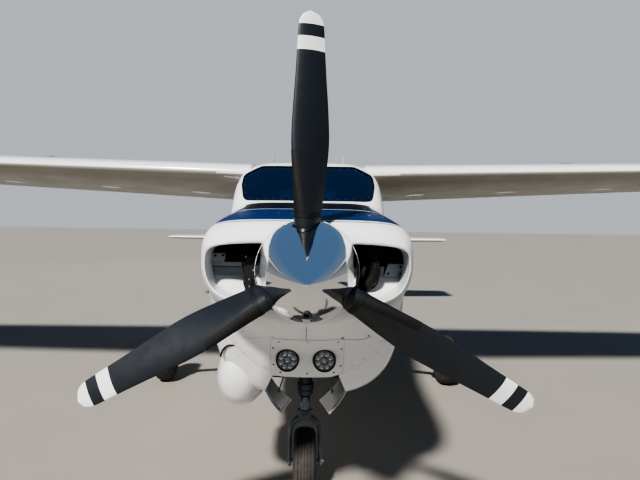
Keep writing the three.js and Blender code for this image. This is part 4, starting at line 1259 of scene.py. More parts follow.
def wingParts(side):
    whole = loft([surfaceRing(row, side, surface["wingCamber"]) for row in surfaceRows(wingSections, 0.26)])
    fixed = biggest(carve(whole, bodyBlock))
    moving = []
    for item in (flap, aileron):
        def place(x, item=item):
            return placeOn(wingSections, x, item["share"], surface["wingCamber"])

        ends = []
        for x in (item["inner"], item["outer"]):
            point, _ = place(x)
            ends.append((side * point.x, point.y, point.z))
        fixed, part = hinged(
            fixed, *ends, lambda s, item=item: place(item["inner"] + s * (item["outer"] - item["inner"]))[1]
            - hingeCut["noseInset"], 0.7, 0.2, endGap=hingeCut["wingEndGap"])
        moving.append(part)
    return fixed, moving


# A point on the skin of a surface at x and a share of the chord, with the way out of the skin.
def onSurface(sections, x, share, side, camber, below=False, lift=0.0):
    def at(x, share):
        _, lead, height, chord, angle, thickness = rowAt(sections, x)
        half = foilHalf(thickness, share) + surface["edge"] / chord
        point = foilPoint(
            x, lead, height, chord, angle, share, foilRise(camber, share) + (-half if below else half))
        return Vector((side * point.x, point.y, point.z))

    point = at(x, share)
    out = (at(x, min(share + 0.01, 0.995)) - point).cross(at(x + 0.01, share) - point).normalized()
    out = -out if (out.z < 0) != below else out
    return point + out * lift, out


def onWing(x, share, side, below=False, lift=0.0):
    return onSurface(wingSections, x, share, side, surface["wingCamber"], below, lift)


# Rows of small flush rivets along spars and ribs.
riveting = {"pitch": 0.042, "ribs": 0.44, "spars": (0.26, 0.68), "radius": 0.0021, "height": 0.0005}


def surfaceRivets(sections, side, camber, low, high, lastShare, spars, firstShare=0.045):
    places = []
    for below in (False, True):
        for share in spars:
            for x in spread(low, high, riveting["pitch"]):
                places.append(onSurface(sections, x, share, side, camber, below))
        for x in spread(low, high, riveting["ribs"]):
            chord = rowAt(sections, x)[3]
            for share in spread(firstShare, lastShare, riveting["pitch"] / chord):
                places.append(onSurface(sections, x, share, side, camber, below))
    return studs(places, riveting["radius"], riveting["height"], 5)


# A thin plate that follows the skin, given as an outline of distance out and share of the chord.
def skinPlate(outline, sections, side, camber, below, thick):
    top = [onSurface(sections, x, s, side, camber, below, thick)[0] for x, s in outline]
    bottom = [onSurface(sections, x, s, side, camber, below, -0.0006)[0] for x, s in outline]
    return loft([bottom, top])


def discOnWing(x, share, side, below, radius, lift, height, count=28):
    point, out = onWing(x, share, side, below)
    return spun(
        [(-lift, 0), (-lift, radius), (height * 0.6, radius), (height, radius * 0.93), (height, 0)], point,
        out, count)


wingDetail = {
    "fuelCap": (2.05, 0.16, 0.042), "panels": (0.95, 1.75, 2.6, 3.4, 4.2, 5.0), "panelHalf": (0.085, 0.05),
    "panelMiddle": 0.45, "screwsIn": 0.86, "tieDown": (3.30, 0.30), "pitot": (4.35, 0.10),
    "stallVane": (3.62, 0.006), "rootLamp": (0.70, 0.115),
}


def accessPanels(side):
    plates, screws = [], []
    wide, long_ = wingDetail["panelHalf"]
    middle, screwsIn = wingDetail["panelMiddle"], wingDetail["screwsIn"]
    for x in wingDetail["panels"]:
        outline = [(x + wide * math.cos(a), middle + long_ * math.sin(a)) for a in around(32)]
        plates.append(skinPlate(outline, wingSections, side, surface["wingCamber"], True, 0.0009))
        for a in around(8, 0.5):
            screws.append(
                onWing(x + wide * screwsIn * math.cos(a), middle + long_ * screwsIn * math.sin(a), side,
                    True, 0.0009))
    return joined(*plates), studs(screws, 0.0034, 0.0008, 8)


def fuelCap(side):
    x, share, radius = wingDetail["fuelCap"]
    point, out = onWing(x, share, side)
    ring = discOnWing(x, share, side, False, radius + 0.014, 0.003, 0.0012, 40)
    cap = discOnWing(x, share, side, False, radius, 0.003, 0.0032, 40)
    tab = moved(
        block(-0.009, 0.009, -propPlane - 0.022, -propPlane + 0.022, 0.002, 0.0062, 0.0015),
        Matrix.Translation(point) @ Vector((0, 0, 1)).rotation_difference(out).to_matrix().to_4x4())
    return ring, joined(cap, tab)


def tieDownRing(side):
    point, out = onWing(*wingDetail["tieDown"], side, True)
    centre = point + out * 0.024
    ring = tube(
        [centre + Vector((0, math.cos(a), math.sin(a))) * 0.015 for a in around(24)], 0.0035, 8, ring=True)
    return joined(ring, rod(point - out * 0.004, point + out * 0.012, 0.007, 0.005, 12))


def tipLamp(side):
    x, lead, height, *_ = wingSections[-2]
    base = spot(side * (x + 0.115), lead + 0.035, height - 0.004)
    rings = []
    for k in range(9):
        t = k / 8
        size = math.sqrt(max(0.0, 1 - t ** 2)) * 0.021 + 0.0006
        centre = base + Vector((side * 0.055 * t, 0.006 + 0.02 * t, 0))
        rings.append([centre + Vector((0, 1.7 * math.cos(a), math.sin(a))) * size for a in around(28)])
    return loft(rings)


def wick(start, back):
    start = Vector(start)
    tip = start + Vector((0, back, 0))
    middle = start.lerp(tip, 0.3)
    return joined(rod(start, middle, 0.003, 0.0022, 8), rod(middle, tip, 0.0014, count=6))


def pitotTube():
    point, out = onWing(*wingDetail["pitot"], 1, True)
    foot = point - out * 0.004
    head = point + out * 0.165 + Vector((0, -0.05, 0))
    mast = []
    for t in (0, 0.15, 0.5, 0.85, 1):
        centre = foot.lerp(head + Vector((0, 0.05, 0)), t)
        size = 0.030 - 0.012 * t
        mast.append(
            [centre + Vector((0.22 * math.sin(a), 1.0 * math.cos(a), 0)) * size for a in around(20)])
    nose = head + Vector((0, -0.10, 0))
    tubeLine = spun(
        [(0, 0.003), (0.0005, 0.0055), (0.012, 0.0085), (0.05, 0.0105), (0.19, 0.0105), (0.205, 0.004)],
        nose, (0, 1, 0), 20)
    return joined(loft(mast), tubeLine)


# Faces that look down get the darker paint: painted shade under the flying surfaces.
def paintedShadeBelow(middle, out):
    return "undersidePaint" if out.z < -0.30 else "whitePaint"


for name, side in sides.items():
    fixed, (flapShape, aileronShape) = wingParts(side)
    panels, panelScrews = accessPanels(side)
    capRing, cap = fuelCap(side)
    rivets = surfaceRivets(wingSections, side, surface["wingCamber"], 0.66, 5.32, 0.70, riveting["spars"])
    parts = [
        (fixed, paintedShadeBelow), (rivets, "whitePaint"), (panels, "whitePaint"), (panelScrews, "stainless"),
        (capRing, "stainless"), (cap, "gearPaint"), (tieDownRing(side), "platedSteel"),
        (tipLamp(side), "redLens" if side > 0 else "greenLens")]
    if side > 0:
        parts.append((pitotTube(), "stainless"))
        vane, out = onWing(*wingDetail["stallVane"], side)
        parts.append(
            (block(vane.x - 0.006, vane.x + 0.006, vane.y - propPlane - 0.03, vane.y - propPlane + 0.004,
                vane.z - 0.0035, vane.z - 0.0015, 0.0006), "stainless"))
        parts += [(discOnWing(*wingDetail["rootLamp"], side, True, 0.019, 0.003, 0.0016), "stainless"),
                  (discOnWing(*wingDetail["rootLamp"], side, True, 0.014, 0.0, 0.007), "clearLens")]
    makePiece(f"wing_{name}_skin", parts, "airframe", "white_paint", f"wing_{name}")
    makePiece(
        f"flap_{name}_skin", [(flapShape, paintedShadeBelow)], f"wing_flap_{name}", "white_paint",
        f"flap_{name}")
    wicks = [
        wick((side * x, *placeOn(wingSections, x, 0.992, surface["wingCamber"])[0].yz), 0.11)
        for x in (4.2, 4.7, 5.2)]
    makePiece(f"aileron_{name}_skin", [(aileronShape, paintedShadeBelow), (wicks, "blackAnodised")],
              f"wing_aileron_{name}", "white_paint", f"aileron_{name}")
print("wings made")

# Fin and rudder, with a long fillet running up from the roof line.
rudderHinge = {"low": (7.290, 1.405), "high": (7.985, 2.870)}
finSmooth = smoothTable(
    [finSections[0], (1.440, 5.830, 1.970, 0.047), *finSections[1:4], (2.925, 7.545, 0.650, 0.070),
        finSections[4]])
bodyTail = bodySolid(4.6, layout["tailEnd"], -0.0006, 0.1, 120)


def finRing(z):
    lead, chord, thickness = finSmooth(z)
    outline = foilOutline(thickness, 0, surface["points"], surface["edge"] / chord)
    return [spot(up * chord, lead + share * chord, z) for share, up in outline]


def finHalfAt(z, d):
    _, lead, chord, thickness = rowAt(finSections, z)
    return chord * foilHalf(thickness, (d - lead) / chord)


def rudderRadius(share):
    d, z = [low + share * (high - low) for low, high in zip(rudderHinge["low"], rudderHinge["high"])]
    return finHalfAt(z, d) - hingeCut["noseInset"]


finTop = finSections[-1][0]
finRings = [finRing(z) for z in spread(1.33, 2.88, 0.05) + [2.90, 2.92, 2.935, 2.944]]
crown = finRing(2.944)
crownMiddle = sum(crown, Vector()) / len(crown)
for grow, z in ((0.96, 2.948), (0.84, finTop)):
    finRings.append(
        [Vector((p.x * grow * 0.7, crownMiddle.y + (p.y - crownMiddle.y) * grow, z)) for p in crown])
finWhole = biggest(carve(loft(finRings), bodyTail))
finFixed, rudderShape = hinged(
    finWhole, *[(0, aft(d), z) for d, z in (rudderHinge["low"], rudderHinge["high"])], rudderRadius, 0.9,
    0.2, sideways=True)
tailLamp = spun(
    [(0, 0.013), (0.006, 0.016), (0.014, 0.015), (0.022, 0.009), (0.025, 0.001)],
    (0, aft(layout["tailEnd"] + 0.012), 1.222), (0, 1, 0), 24)
finRivets = []
for side in (-1, 1):
    for z in spread(1.72, 2.86, 0.19):
        _, lead, chord, thickness = rowAt(finSections, z)
        hingeAt = rowAt([(height, back) for back, height in rudderHinge.values()], z)[1]
        for d in spread(lead + 0.05, hingeAt - 0.03, riveting["pitch"]):
            share = (d - lead) / chord
            finRivets.append(
                (spot(side * (chord * foilHalf(thickness, share) + surface["edge"]), d, z), (side, 0, 0)))
makePiece(
    "fin_skin", [(finFixed, "livery"), (studs(finRivets, riveting["radius"], riveting["height"], 5),
        "whitePaint")], "airframe", "white_paint", "fin")
makePiece("tail_lamp_lens", [(tailLamp, "clearLens")], "airframe", "lamp")
rudderWicks = [
    wick(spot(0, sum(rowAt(finSections, z)[1:3]) - 0.004, z), 0.10) for z in (1.75, 2.2, 2.65)]
makePiece("rudder_skin", [(rudderShape, "livery"), (rudderWicks, "blackAnodised")], "rudder_panel",
          "white_paint", "rudder")

elevator = {"inner": 0.150, "outer": 2.425, "hingeAt": 7.510, "height": 1.186}


def elevatorRadius(share):
    row = rowAt(tailplaneSections, elevator["inner"] + share * (elevator["outer"] - elevator["inner"]))
    return row[3] * foilHalf(row[5], (elevator["hingeAt"] - row[1]) / row[3]) - hingeCut["noseInset"]


for name, side in sides.items():
    whole = biggest(
        carve(loft([surfaceRing(row, side, 0) for row in surfaceRows(tailplaneSections, 0.2)]), bodyTail))
    fixed, moving = hinged(
        whole, *[(side * elevator[end], aft(elevator["hingeAt"]), elevator["height"])
            for end in ("inner", "outer")], elevatorRadius, 0.7, 0.2)
    rivets = surfaceRivets(tailplaneSections, side, 0, 0.36, 2.4, 0.5, (0.25, 0.52))
    wicks = [
        wick((side * x, aft(sum(rowAt(tailplaneSections, x)[1:4:2]) - 0.004), elevator["height"]), 0.10)
        for x in (1.4, 1.9, 2.35)]
    makePiece(
        f"tailplane_{name}_skin", [(fixed, paintedShadeBelow), (rivets, "whitePaint")], "airframe",
        "white_paint", f"tailplane_{name}")
    makePiece(f"elevator_{name}_skin", [(moving, paintedShadeBelow), (wicks, "blackAnodised")], "elevators",
              "white_paint", f"elevator_{name}")
print("tail made")

# Landing gear. Wheels are the same but for their sizes.
mainGear = {
    "x": 1.320, "at": 2.820, "radius": 0.2225, "width": 0.160, "rim": 0.084, "axle": 0.017,
    "legTop": (0.330, 2.690, 0.690), "legFoot": (1.195, 2.815, 0.262), "topRadius": 0.042,
    "footRadius": 0.027, "knuckle": (1.180, 1.222), "discAt": 1.2395, "discRadius": 0.078}
noseGear = {"at": 0.870, "radius": 0.1805, "width": 0.126, "rim": 0.068, "axle": 0.012, "steerAt": 0.835}
tread = {
    "grooves": (-0.60, -0.30, 0.0, 0.30, 0.60), "grooveWidth": 0.0042, "grooveDepth": 0.0045,
    "flat": 0.66, "sides": 132}


# Section of a tyre as distance along the axle and radius: bead, sidewall, shoulder, grooved crown.
def tyreSection(size):
    half, rim, radius = size["width"] / 2, size["rim"], size["radius"]
    height = radius - rim
    flat, drop = half * tread["flat"], height * 0.075
    wall = smoothLine(
        [(half * 0.57, rim + 0.002, 0), (half * 0.62, rim + 0.010, 0),
            (half * 0.86, rim + height * 0.22, 0), (half * 0.985, rim + height * 0.46, 0),
            (half * 0.95, rim + height * 0.70, 0), (half * 0.80, rim + height * 0.87, 0),
            (flat, radius - drop, 0)], 5)
    side = [(p.x, p.y) for p in wall]

    def crown(x):
        return radius - drop * (abs(x) / flat) ** 2.2

    top = []
    for x in spread(flat, -flat, -0.004)[1:-1]:
        if all(abs(x - g * half * 0.9) > tread["grooveWidth"] * 0.8 for g in tread["grooves"]):
            top.append((x, crown(x)))
    for g in tread["grooves"]:
        x, w, deep = g * half * 0.9, tread["grooveWidth"] / 2, tread["grooveDepth"]
        top += [(x + w + 0.0006, crown(x)), (x + w, crown(x) - 0.001), (x + w * 0.8, crown(x) - deep),
                (x - w * 0.8, crown(x) - deep), (x - w, crown(x) - 0.001), (x - w - 0.0006, crown(x))]
    top.sort(key=lambda p: -p[0])
    return side + top + [(-x, r) for x, r in reversed(side)]


def onAxle(size, x):
    return spot(x, size["at"], size["radius"])


# A closed section, as distance along the axle and radius, turned round the axle.
def turned(size, x, section, count, late=0.0):
    middle = onAxle(size, x)
    return loft([[middle + Vector((along, -math.cos(a) * r, -math.sin(a) * r)) for along, r in section]
                 for a in around(count, late)], loop=True)


def tyreShape(size, x):
    return turned(size, x, tyreSection(size), tread["sides"], 0.25)


def rimHalf(size):
    return size["width"] / 2 * 0.66


def rimShape(size, x, outwards):
    half, rim, axle = rimHalf(size), size["rim"], size["axle"]
    face = [
        (half * 0.98, axle + 0.0012), (half * 1.0, axle + 0.003), (half * 1.0, axle + 0.013),
        (half * 0.94, axle + 0.017), (half * 0.45, axle + 0.022), (half * 0.36, axle + 0.028),
        (half * 0.36, rim - 0.024), (half * 0.44, rim - 0.017), (half * 0.86, rim - 0.012),
        (half * 0.95, rim - 0.008), (half * 0.97, rim + 0.004), (half * 1.0, rim + 0.0065),
        (half * 0.965, rim + 0.0075), (half * 0.91, rim + 0.005), (half * 0.88, rim - 0.0015)]
    profile = [(outwards * a, r) for a, r in face] + [(-outwards * a, r) for a, r in reversed(face)]
    return turned(size, x, profile, 72)


def axleBolts(size, x, outwards, at, radius, count=6, lift=0.36):
    half, middle = rimHalf(size), onAxle(size, x)
    parts = []
    for turn in around(count, 0.5):
        foot = middle + Vector((outwards * half * lift, at * math.cos(turn), at * math.sin(turn)))
        parts.append(
            rod(foot - Vector((outwards * 0.004, 0, 0)), foot + Vector((outwards * 0.005, 0, 0)), radius,
                count=6))
        parts.append(rod(foot, foot + Vector((outwards * 0.009, 0, 0)), radius * 0.5, count=8))
    return joined(*parts)


def hubCap(size, x, outwards):
    half, axle = rimHalf(size), size["axle"]
    return spun(
        [(half * 0.98, 0.0), (half * 0.98, axle + 0.010), (half * 1.06, axle + 0.009),
            (half * 1.12, axle * 0.6), (half * 1.14, 0.0)], onAxle(size, x), (outwards, 0, 0), 32)


def legEnds(side):
    return [spot(side * x, d, z) for x, d, z in (mainGear["legTop"], mainGear["legFoot"])]


# Middle and radius of the bowed leg at a share of its length.
def legAt(side, share):
    top, foot = legEnds(side)
    return (top.lerp(foot, share) + Vector((0, 0, 0.010 * math.sin(math.pi * share))),
            mainGear["topRadius"] + (mainGear["footRadius"] - mainGear["topRadius"]) * share)


def mainLegShape(side):
    top, foot = legEnds(side)
    first = Vector((0, 1, 0))
    second = (foot - top).normalized().cross(first).normalized()
    rings = []
    for share in spread(0, 1, 0.05):
        centre, size = legAt(side, share)
        rings.append([centre + (first * math.cos(a) + second * math.sin(a)) * size for a in around(40)])
    return biggest(carve(loft(rings), bodyBlock))


# A short fairing where the leg leaves the belly.
def legFairing(side):
    top, foot = legEnds(side)
    way = (foot - top).normalized()

    def outside(point):
        return reachAt(point.y - propPlane, *point.xz) > 1

    start = next(t for t in spread(0.05, 0.6, 0.01) if outside(top.lerp(foot, t)))
    first = Vector((0, 1, 0))
    second = way.cross(first).normalized()
    profile = [(-0.03, 0.078), (0.010, 0.070), (0.045, 0.054), (0.060, 0.046), (0.060, 0.043), (-0.03, 0.043)]
    rings = []
    for along, size in profile:
        centre = top.lerp(foot, start) + way * along
        rings.append(
            [centre + first * math.cos(a) * size * 1.5 + second * math.sin(a) * size for a in around(48)])
    return biggest(carve(loft(rings), bodyBlock))


for name, side in sides.items():
    x, at, radius = side * mainGear["x"], mainGear["at"], mainGear["radius"]
    makePiece(
        f"main_tyre_{name}_grooved", [(tyreShape(mainGear, x), "tyreRubber")], f"main_wheel_{name}",
        "rubber", f"main_tyre_{name}")
    disc = spun(
        [(-0.0035, 0.030), (-0.0035, mainGear["discRadius"]), (0.0035, mainGear["discRadius"]),
            (0.0035, 0.052), (0.028, 0.046), (0.028, 0.030)], (side * mainGear["discAt"], aft(at), radius),
        (side, 0, 0), 56)
    makePiece(
        f"main_wheel_{name}_halves", [(rimShape(mainGear, x, side), "wheelPaint"),
            (axleBolts(mainGear, x, side, 0.046, 0.0055), "stainless"),
            (hubCap(mainGear, x, side), "polishedAluminium"), (disc, "platedSteel")], f"main_wheel_{name}",
        "wheel_metal", f"main_rim_{name}")
    knee = block(
        *mainGear["knuckle"], at - 0.040, at + 0.040, radius - 0.0505, radius + 0.0675, 0.012, 4, side)
    collar = spun([(-0.012, 0.030), (-0.010, 0.034), (0.02, 0.034), (0.022, 0.030)],
                  legEnds(side)[1], (side * -0.89, 0, 0.44), 32)
    axleRod = rod(
        (side * 1.200, aft(at), radius), (side * (mainGear["x"] + 0.060), aft(at), radius), 0.0165,
        count=28)
    caliper = [block(a, b, at - 0.088, at - 0.042, radius - 0.036, radius + 0.036, 0.005, 3, side)
               for a, b in ((1.2215, 1.2335), (1.2455, 1.2565))]
    caliper.append(
        block(1.2235, 1.2555, at - 0.098, at - 0.0815, radius - 0.030, radius + 0.030, 0.004, 3, side))
    caliper += [
        rod((side * 1.208, aft(at - 0.066), radius + z), (side * 1.2335, aft(at - 0.066), radius + z),
            0.012, count=20, edge=0.002) for z in (-0.017, 0.017)]
    torque = block(1.222, 1.2290, at - 0.060, at + 0.050, radius - 0.045, radius + 0.045, 0.003, 2, side)
    bolts = [(spot(side * 1.1798, at + a, radius + 0.0085 + b), (-side, 0, 0)) for a in (-0.026, 0.026)
             for b in (-0.042, 0.046)]
    top, foot = legEnds(side)
    hose = smoothLine(
        [top.lerp(foot, t) + Vector((0, 0.040 - 0.012 * t, 0.012)) for t in (0.28, 0.45, 0.65, 0.85)]
        + [spot(side * 1.19, at + 0.010, radius + 0.082), spot(side * 1.212, at - 0.052, radius + 0.055),
            spot(side * 1.211, at - 0.066, radius + 0.022)], 8)
    clips = []
    for share in (0.42, 0.62, 0.82):
        centre, size = legAt(side, share)
        size += 0.0006
        clips.append(
            spun([(-0.007, size - 0.002), (-0.007, size + 0.001), (0.007, size + 0.001),
                (0.007, size - 0.002)], centre, foot - top, 40))
    makePiece(
        f"main_leg_{name}_tube", [(mainLegShape(side), "wheelPaint"), (legFairing(side), "whitePaint"),
            (knee, "gearPaint"), (collar, "platedSteel"), (axleRod, "platedSteel"),
            (caliper, "engineCasting"), (torque, "platedSteel"),
            (studs(bolts, 0.0075, 0.006, 6), "stainless"), (tube(hose, 0.0042, 10), "sealRubber"),
            (clips, "stainless")], "airframe", "gear_paint",
        f"main_leg_{name}")
print("main gear made")

# Nose gear: shock strut with its trunnion and drag brace, chromed piston, fork and wheel.
onSteer = {"trunnion": 0.860, "braceLow": 0.800, "braceHigh": 0.905}


def steerPoint(z, x=0.0, behind=0.0):
    return spot(x, noseGear["steerAt"] + behind, z)


def onStrut(profile, count=48):
    return spun(profile, steerPoint(0), (0, 0, 1), count)


strutTube = onStrut([
    (0.572, 0.0262), (0.572, 0.0385), (0.574, 0.0400), (0.596, 0.0400), (0.598, 0.0360), (0.640, 0.0360),
    (0.642, 0.0380), (0.656, 0.0380), (0.658, 0.0360), (0.742, 0.0360), (0.744, 0.0395), (0.790, 0.0395),
    (0.793, 0.0365), (0.905, 0.0365), (0.925, 0.0330), (0.930, 0.0)])
bearing = [(-0.016, 0.020), (-0.014, 0.030), (0.014, 0.030), (0.016, 0.020)]
trunnionEnds = [steerPoint(onSteer["trunnion"], x) for x in (-0.190, 0.190)]
trunnion = [rod(*trunnionEnds, 0.0195, count=32, edge=0.003)]
trunnion += [spun(bearing, steerPoint(onSteer["trunnion"], x), (1, 0, 0), 32)
             for x in (-0.172, -0.060, 0.060, 0.172)]
webCorners = [(0.905, 0.034), (0.878, 0.150), (0.842, 0.150), (0.780, 0.034)]
webs = [
    loft([[steerPoint(z, s * x, behind) for z, x in webCorners] for behind in (0, 0.010)]) for s in (-1, 1)]
braceFoot = spot(0, layout["firewall"] - 0.045, onSteer["braceHigh"])
braceHead = steerPoint(onSteer["braceLow"])
dragBrace = [
    rod(braceHead, braceFoot, 0.016, count=28), block(-0.060, 0.060, 1.0245, 1.0435, 0.870, 0.940, 0.004)]
dragBrace += [rod(braceHead.lerp(braceFoot, a), braceHead.lerp(braceFoot, b), 0.021, count=28, edge=0.002)
              for a, b in ((0.30, 0.42), (0.60, 0.70))]
jackEnd, jackJoint, jackEye = (spot(0.095, d, z) for d, z in ((0.62, 0.835), (0.80, 0.806), (0.875, 0.794)))
retract = joined(
    rod(jackEnd, jackJoint, 0.0175, count=28, edge=0.002), rod(jackJoint, jackEye, 0.0085, count=16),
    rod(spot(0.070, 0.875, 0.794), spot(0.112, 0.875, 0.794), 0.008, count=16))
makePiece(
    "nose_strut_tube", [(strutTube, "gearPaint"), (trunnion, "gearPaint"), (webs, "gearPaint"),
        (dragBrace, "gearPaint"), (retract, "platedSteel")], "airframe", "gear_paint", "nose_strut")

# The fork is one arch of rounded section, swept from one axle end over the tyre to the other.
fork = {"half": 0.083, "foot": 0.166, "top": 0.4290, "thick": 0.0085, "wide": 0.026, "power": 3.2}


def forkArch():
    rings = []
    line = [
        (-fork["half"], fork["foot"]), (-fork["half"], 0.20), (-fork["half"], 0.26), (-fork["half"], 0.32)]
    for k in range(21):
        a = math.pi * (1 - k / 20)
        line.append(
            (fork["half"] * math.copysign(abs(math.cos(a)) ** 0.9, math.cos(a)),
                0.345 + (fork["top"] - 0.345) * math.sin(a) ** 0.8))
    line += [(-x, z) for x, z in reversed(line[:4])]
    for i, (x, z) in enumerate(line):
        before, after = Vector(line[max(i - 1, 0)]), Vector(line[min(i + 1, len(line) - 1)])
        way = (after - before).normalized()
        normal = Vector((-way.y, way.x))
        high = max(0.0, min(1.0, (z - 0.20) / 0.20))
        thick = fork["thick"] * (0.9 + 0.9 * high ** 2)
        wide = fork["wide"] * (1.0 - 0.12 * high)
        centre = spot(x, noseGear["at"], z)
        ring = []
        for a in around(28):
            u = math.copysign(abs(math.cos(a)) ** (2 / fork["power"]), math.cos(a)) * thick
            v = math.copysign(abs(math.sin(a)) ** (2 / fork["power"]), math.sin(a)) * wide
            ring.append(centre + Vector((normal.x * u, v, normal.y * u)))
        rings.append(ring)
    return loft(rings)


def neckRing(z, half):
    front, back = noseGear["steerAt"] - half, noseGear["at"] + 0.003
    return [spot(x, d, z) for x, d in ((-half, front), (half, front), (half, back), (-half, back))]


forkNeck = loft([neckRing(*row) for row in ((0.434, 0.024), (0.444, 0.026), (0.452, 0.024))])
forkCollar = onStrut(
    [(0.4405, 0.0), (0.4405, 0.030), (0.4440, 0.0345), (0.466, 0.0345), (0.469, 0.032), (0.478, 0.032),
        (0.484, 0.0300), (0.4865, 0.0262), (0.4865, 0.0)])
piston = rod(steerPoint(0.480), steerPoint(0.648), 0.0245, count=48)
wiper = onStrut([(0.560, 0.0250), (0.560, 0.0300), (0.5665, 0.0310), (0.5668, 0.0250)], 40)
axleEnds = []
for side in (-1, 1):
    end = onAxle(noseGear, side * fork["half"])
    axleEnds.append(
        spun([(-0.004, 0.026), (0.0095, 0.026), (0.0105, 0.024), (0.0105, 0.012)], end, (side, 0, 0), 28))
    axleEnds.append(rod(end, end + Vector((side * 0.0185, 0, 0)), 0.0135, count=6))
    axleEnds.append(rod(end, end + Vector((side * 0.023, 0, 0)), 0.007, count=16))
axleEnds.append(rod(onAxle(noseGear, -0.084), onAxle(noseGear, 0.084), 0.0115, count=24))


# One torque link: a flat triangle with a round eye at its point, behind the strut.
def torqueLink(baseZ, tipZ, tipBehind):
    base = [steerPoint(baseZ, s * 0.030, 0.040) for s in (-1, 1)]
    tip = [steerPoint(tipZ, s * 0.011, tipBehind) for s in (-1, 1)]
    thick = Vector((0, 0, 0.0055))
    rings = [[base[0] - thick, base[1] - thick, base[1] + thick, base[0] + thick],
             [tip[0] - thick, tip[1] - thick, tip[1] + thick, tip[0] + thick]]
    eye = rod(steerPoint(tipZ, -0.014, tipBehind), steerPoint(tipZ, 0.014, tipBehind), 0.009, count=20)
    pivot = rod(steerPoint(baseZ, -0.040, 0.040), steerPoint(baseZ, 0.040, 0.040), 0.0075, count=20)
    return joined(loft(rings), eye, pivot)


linkRing = hoop(
    [(0.604, 0.0385), (0.604, 0.0450), (0.632, 0.0450), (0.632, 0.0385)], steerPoint(0), (0, 0, 1), 40)
links = joined(torqueLink(0.618, 0.545, 0.115), torqueLink(0.468, 0.533, 0.115), linkRing)
# The piston's chrome is darkened as painted shade.
makePiece(
    "nose_fork_arch", [(forkArch(), "gearPaint"), (forkNeck, "gearPaint"), (forkCollar, "gearPaint"),
        (piston, "shadedChrome"), (wiper, "sealRubber"), (axleEnds, "platedSteel"), (links, "gearPaint")],
    "nose_steering", "gear_paint", "nose_fork")
makePiece("nose_tyre_grooved", [(tyreShape(noseGear, 0), "tyreRubber")], "nose_wheel", "rubber", "nose_tyre")
makePiece(
    "nose_wheel_halves", [(rimShape(noseGear, 0, 1), "wheelPaint"),
        *[(axleBolts(noseGear, 0, side, 0.034, 0.0045), "stainless") for side in (1, -1)]], "nose_wheel",
    "wheel_metal", "nose_rim")

# Open nose gear doors: a curved outer skin, a pressed inner pan, hinges and a link to the well's roof.
# Columns: aft, height of the hinge, x of the free edge, height of the free edge.
gearDoor = {
    "ends": [(0.562, 0.698, 0.121, 0.564), (1.035, 0.606, 0.082, 0.462)], "thick": 0.003, "bow": 0.009}


def doorPoint(side, along, across, lift):
    d, hingeZ, freeX, freeZ = rowAt([(0, *gearDoor["ends"][0]), (1, *gearDoor["ends"][1])], along)[1:]
    hinge, free = spot(side * (well["half"] - 0.0006), d, hingeZ), spot(side * freeX, d, freeZ)
    way = (free - hinge).normalized()
    inwards = Vector((side * way.z, 0, -side * way.x))
    bow = gearDoor["bow"] * (1 - 4 * (across - 0.5) ** 2)
    return hinge.lerp(free, across) + inwards * (lift - bow)


def doorGrid(side, low, high, count=16):
    rings = []
    for i in range(count + 1):
        along = i / count
        edge = [(along, k / count) for k in range(count + 1)]
        outer = [doorPoint(side, a, b, low) for a, b in edge]
        rings.append(outer + [doorPoint(side, a, b, high) for a, b in reversed(edge)])
    return loft(rings)


def doorGridSheet(side, inset, lift, count=12):
    steps = [inset + (1 - 2 * inset) * k / count for k in range(count + 1)]
    return loft([[doorPoint(side, a, b, lift) for b in steps] for a in steps], closed=False, caps=False)


for name, side in sides.items():
    # the pressed inner pan: a raised field with a rolled edge
    frames = []
    for inset, lift in ((0.045, 0.0028), (0.060, 0.0058), (0.075, 0.0068)):
        steps, back = spread(inset, 1 - inset, 0.1), spread(1 - inset, inset, -0.1)
        edge = [(a, inset) for a in steps] + [(1 - inset, b) for b in steps]
        edge += [(a, 1 - inset) for a in back] + [(inset, b) for b in back]
        frames.append([doorPoint(side, a, b, lift) for a, b in edge])
    panShape = joined(loft(frames, caps=False), doorGridSheet(side, 0.075, 0.0068))
    hinges = [
        rod(doorPoint(side, a, 0.005, 0.006), doorPoint(side, a + 0.10, 0.005, 0.006), 0.0048, count=14)
        for a in (0.12, 0.45, 0.78)]
    linkFoot = doorPoint(side, 0.74, 0.50, 0.010)
    link = joined(rod(linkFoot, (side * 0.070, aft(0.900), well["top"]), 0.0036, count=12),
                  spun([(-0.008, 0.009), (0.008, 0.009)], linkFoot, (0, 1, 0), 16))
    rivets = []
    for a in spread(0.05, 0.95, 0.075):
        for b in (0.05, 0.95):
            point = doorPoint(side, a, b, 0.0)
            rivets.append((point, point - doorPoint(side, a, b, 0.01)))
    makePiece(f"nose_gear_door_{name}_skin",
              [(doorGrid(side, 0.0, gearDoor["thick"]), "whitePaint"), (panShape, "whitePaint"),
               (hinges, "stainless"), (link, "platedSteel"), (studs(rivets), "whitePaint")],
              "airframe", "white_paint", f"nose_gear_door_{name}")
print("nose gear made")

# Engine: crankcase, six finned barrels with their covers, and the sump. Sizes in metres.
engine = {
    "crank": (-0.150, 0.150, 0.274, 0.996, 1.050, 1.486),
    "sump": (-0.280, 0.280, 0.496, 0.874, 0.790, 1.050),
    "rearSump": (-0.246, 0.246, 0.885, 0.996, 0.956, 1.116),
    "barrels": (0.425, 0.625, 0.825), "barrelZ": 1.300, "finRadius": 0.092, "barrelRadius": 0.070, "fins": 15,
    "finFrom": 0.155, "finTo": 0.350, "coverTo": 0.392,
}


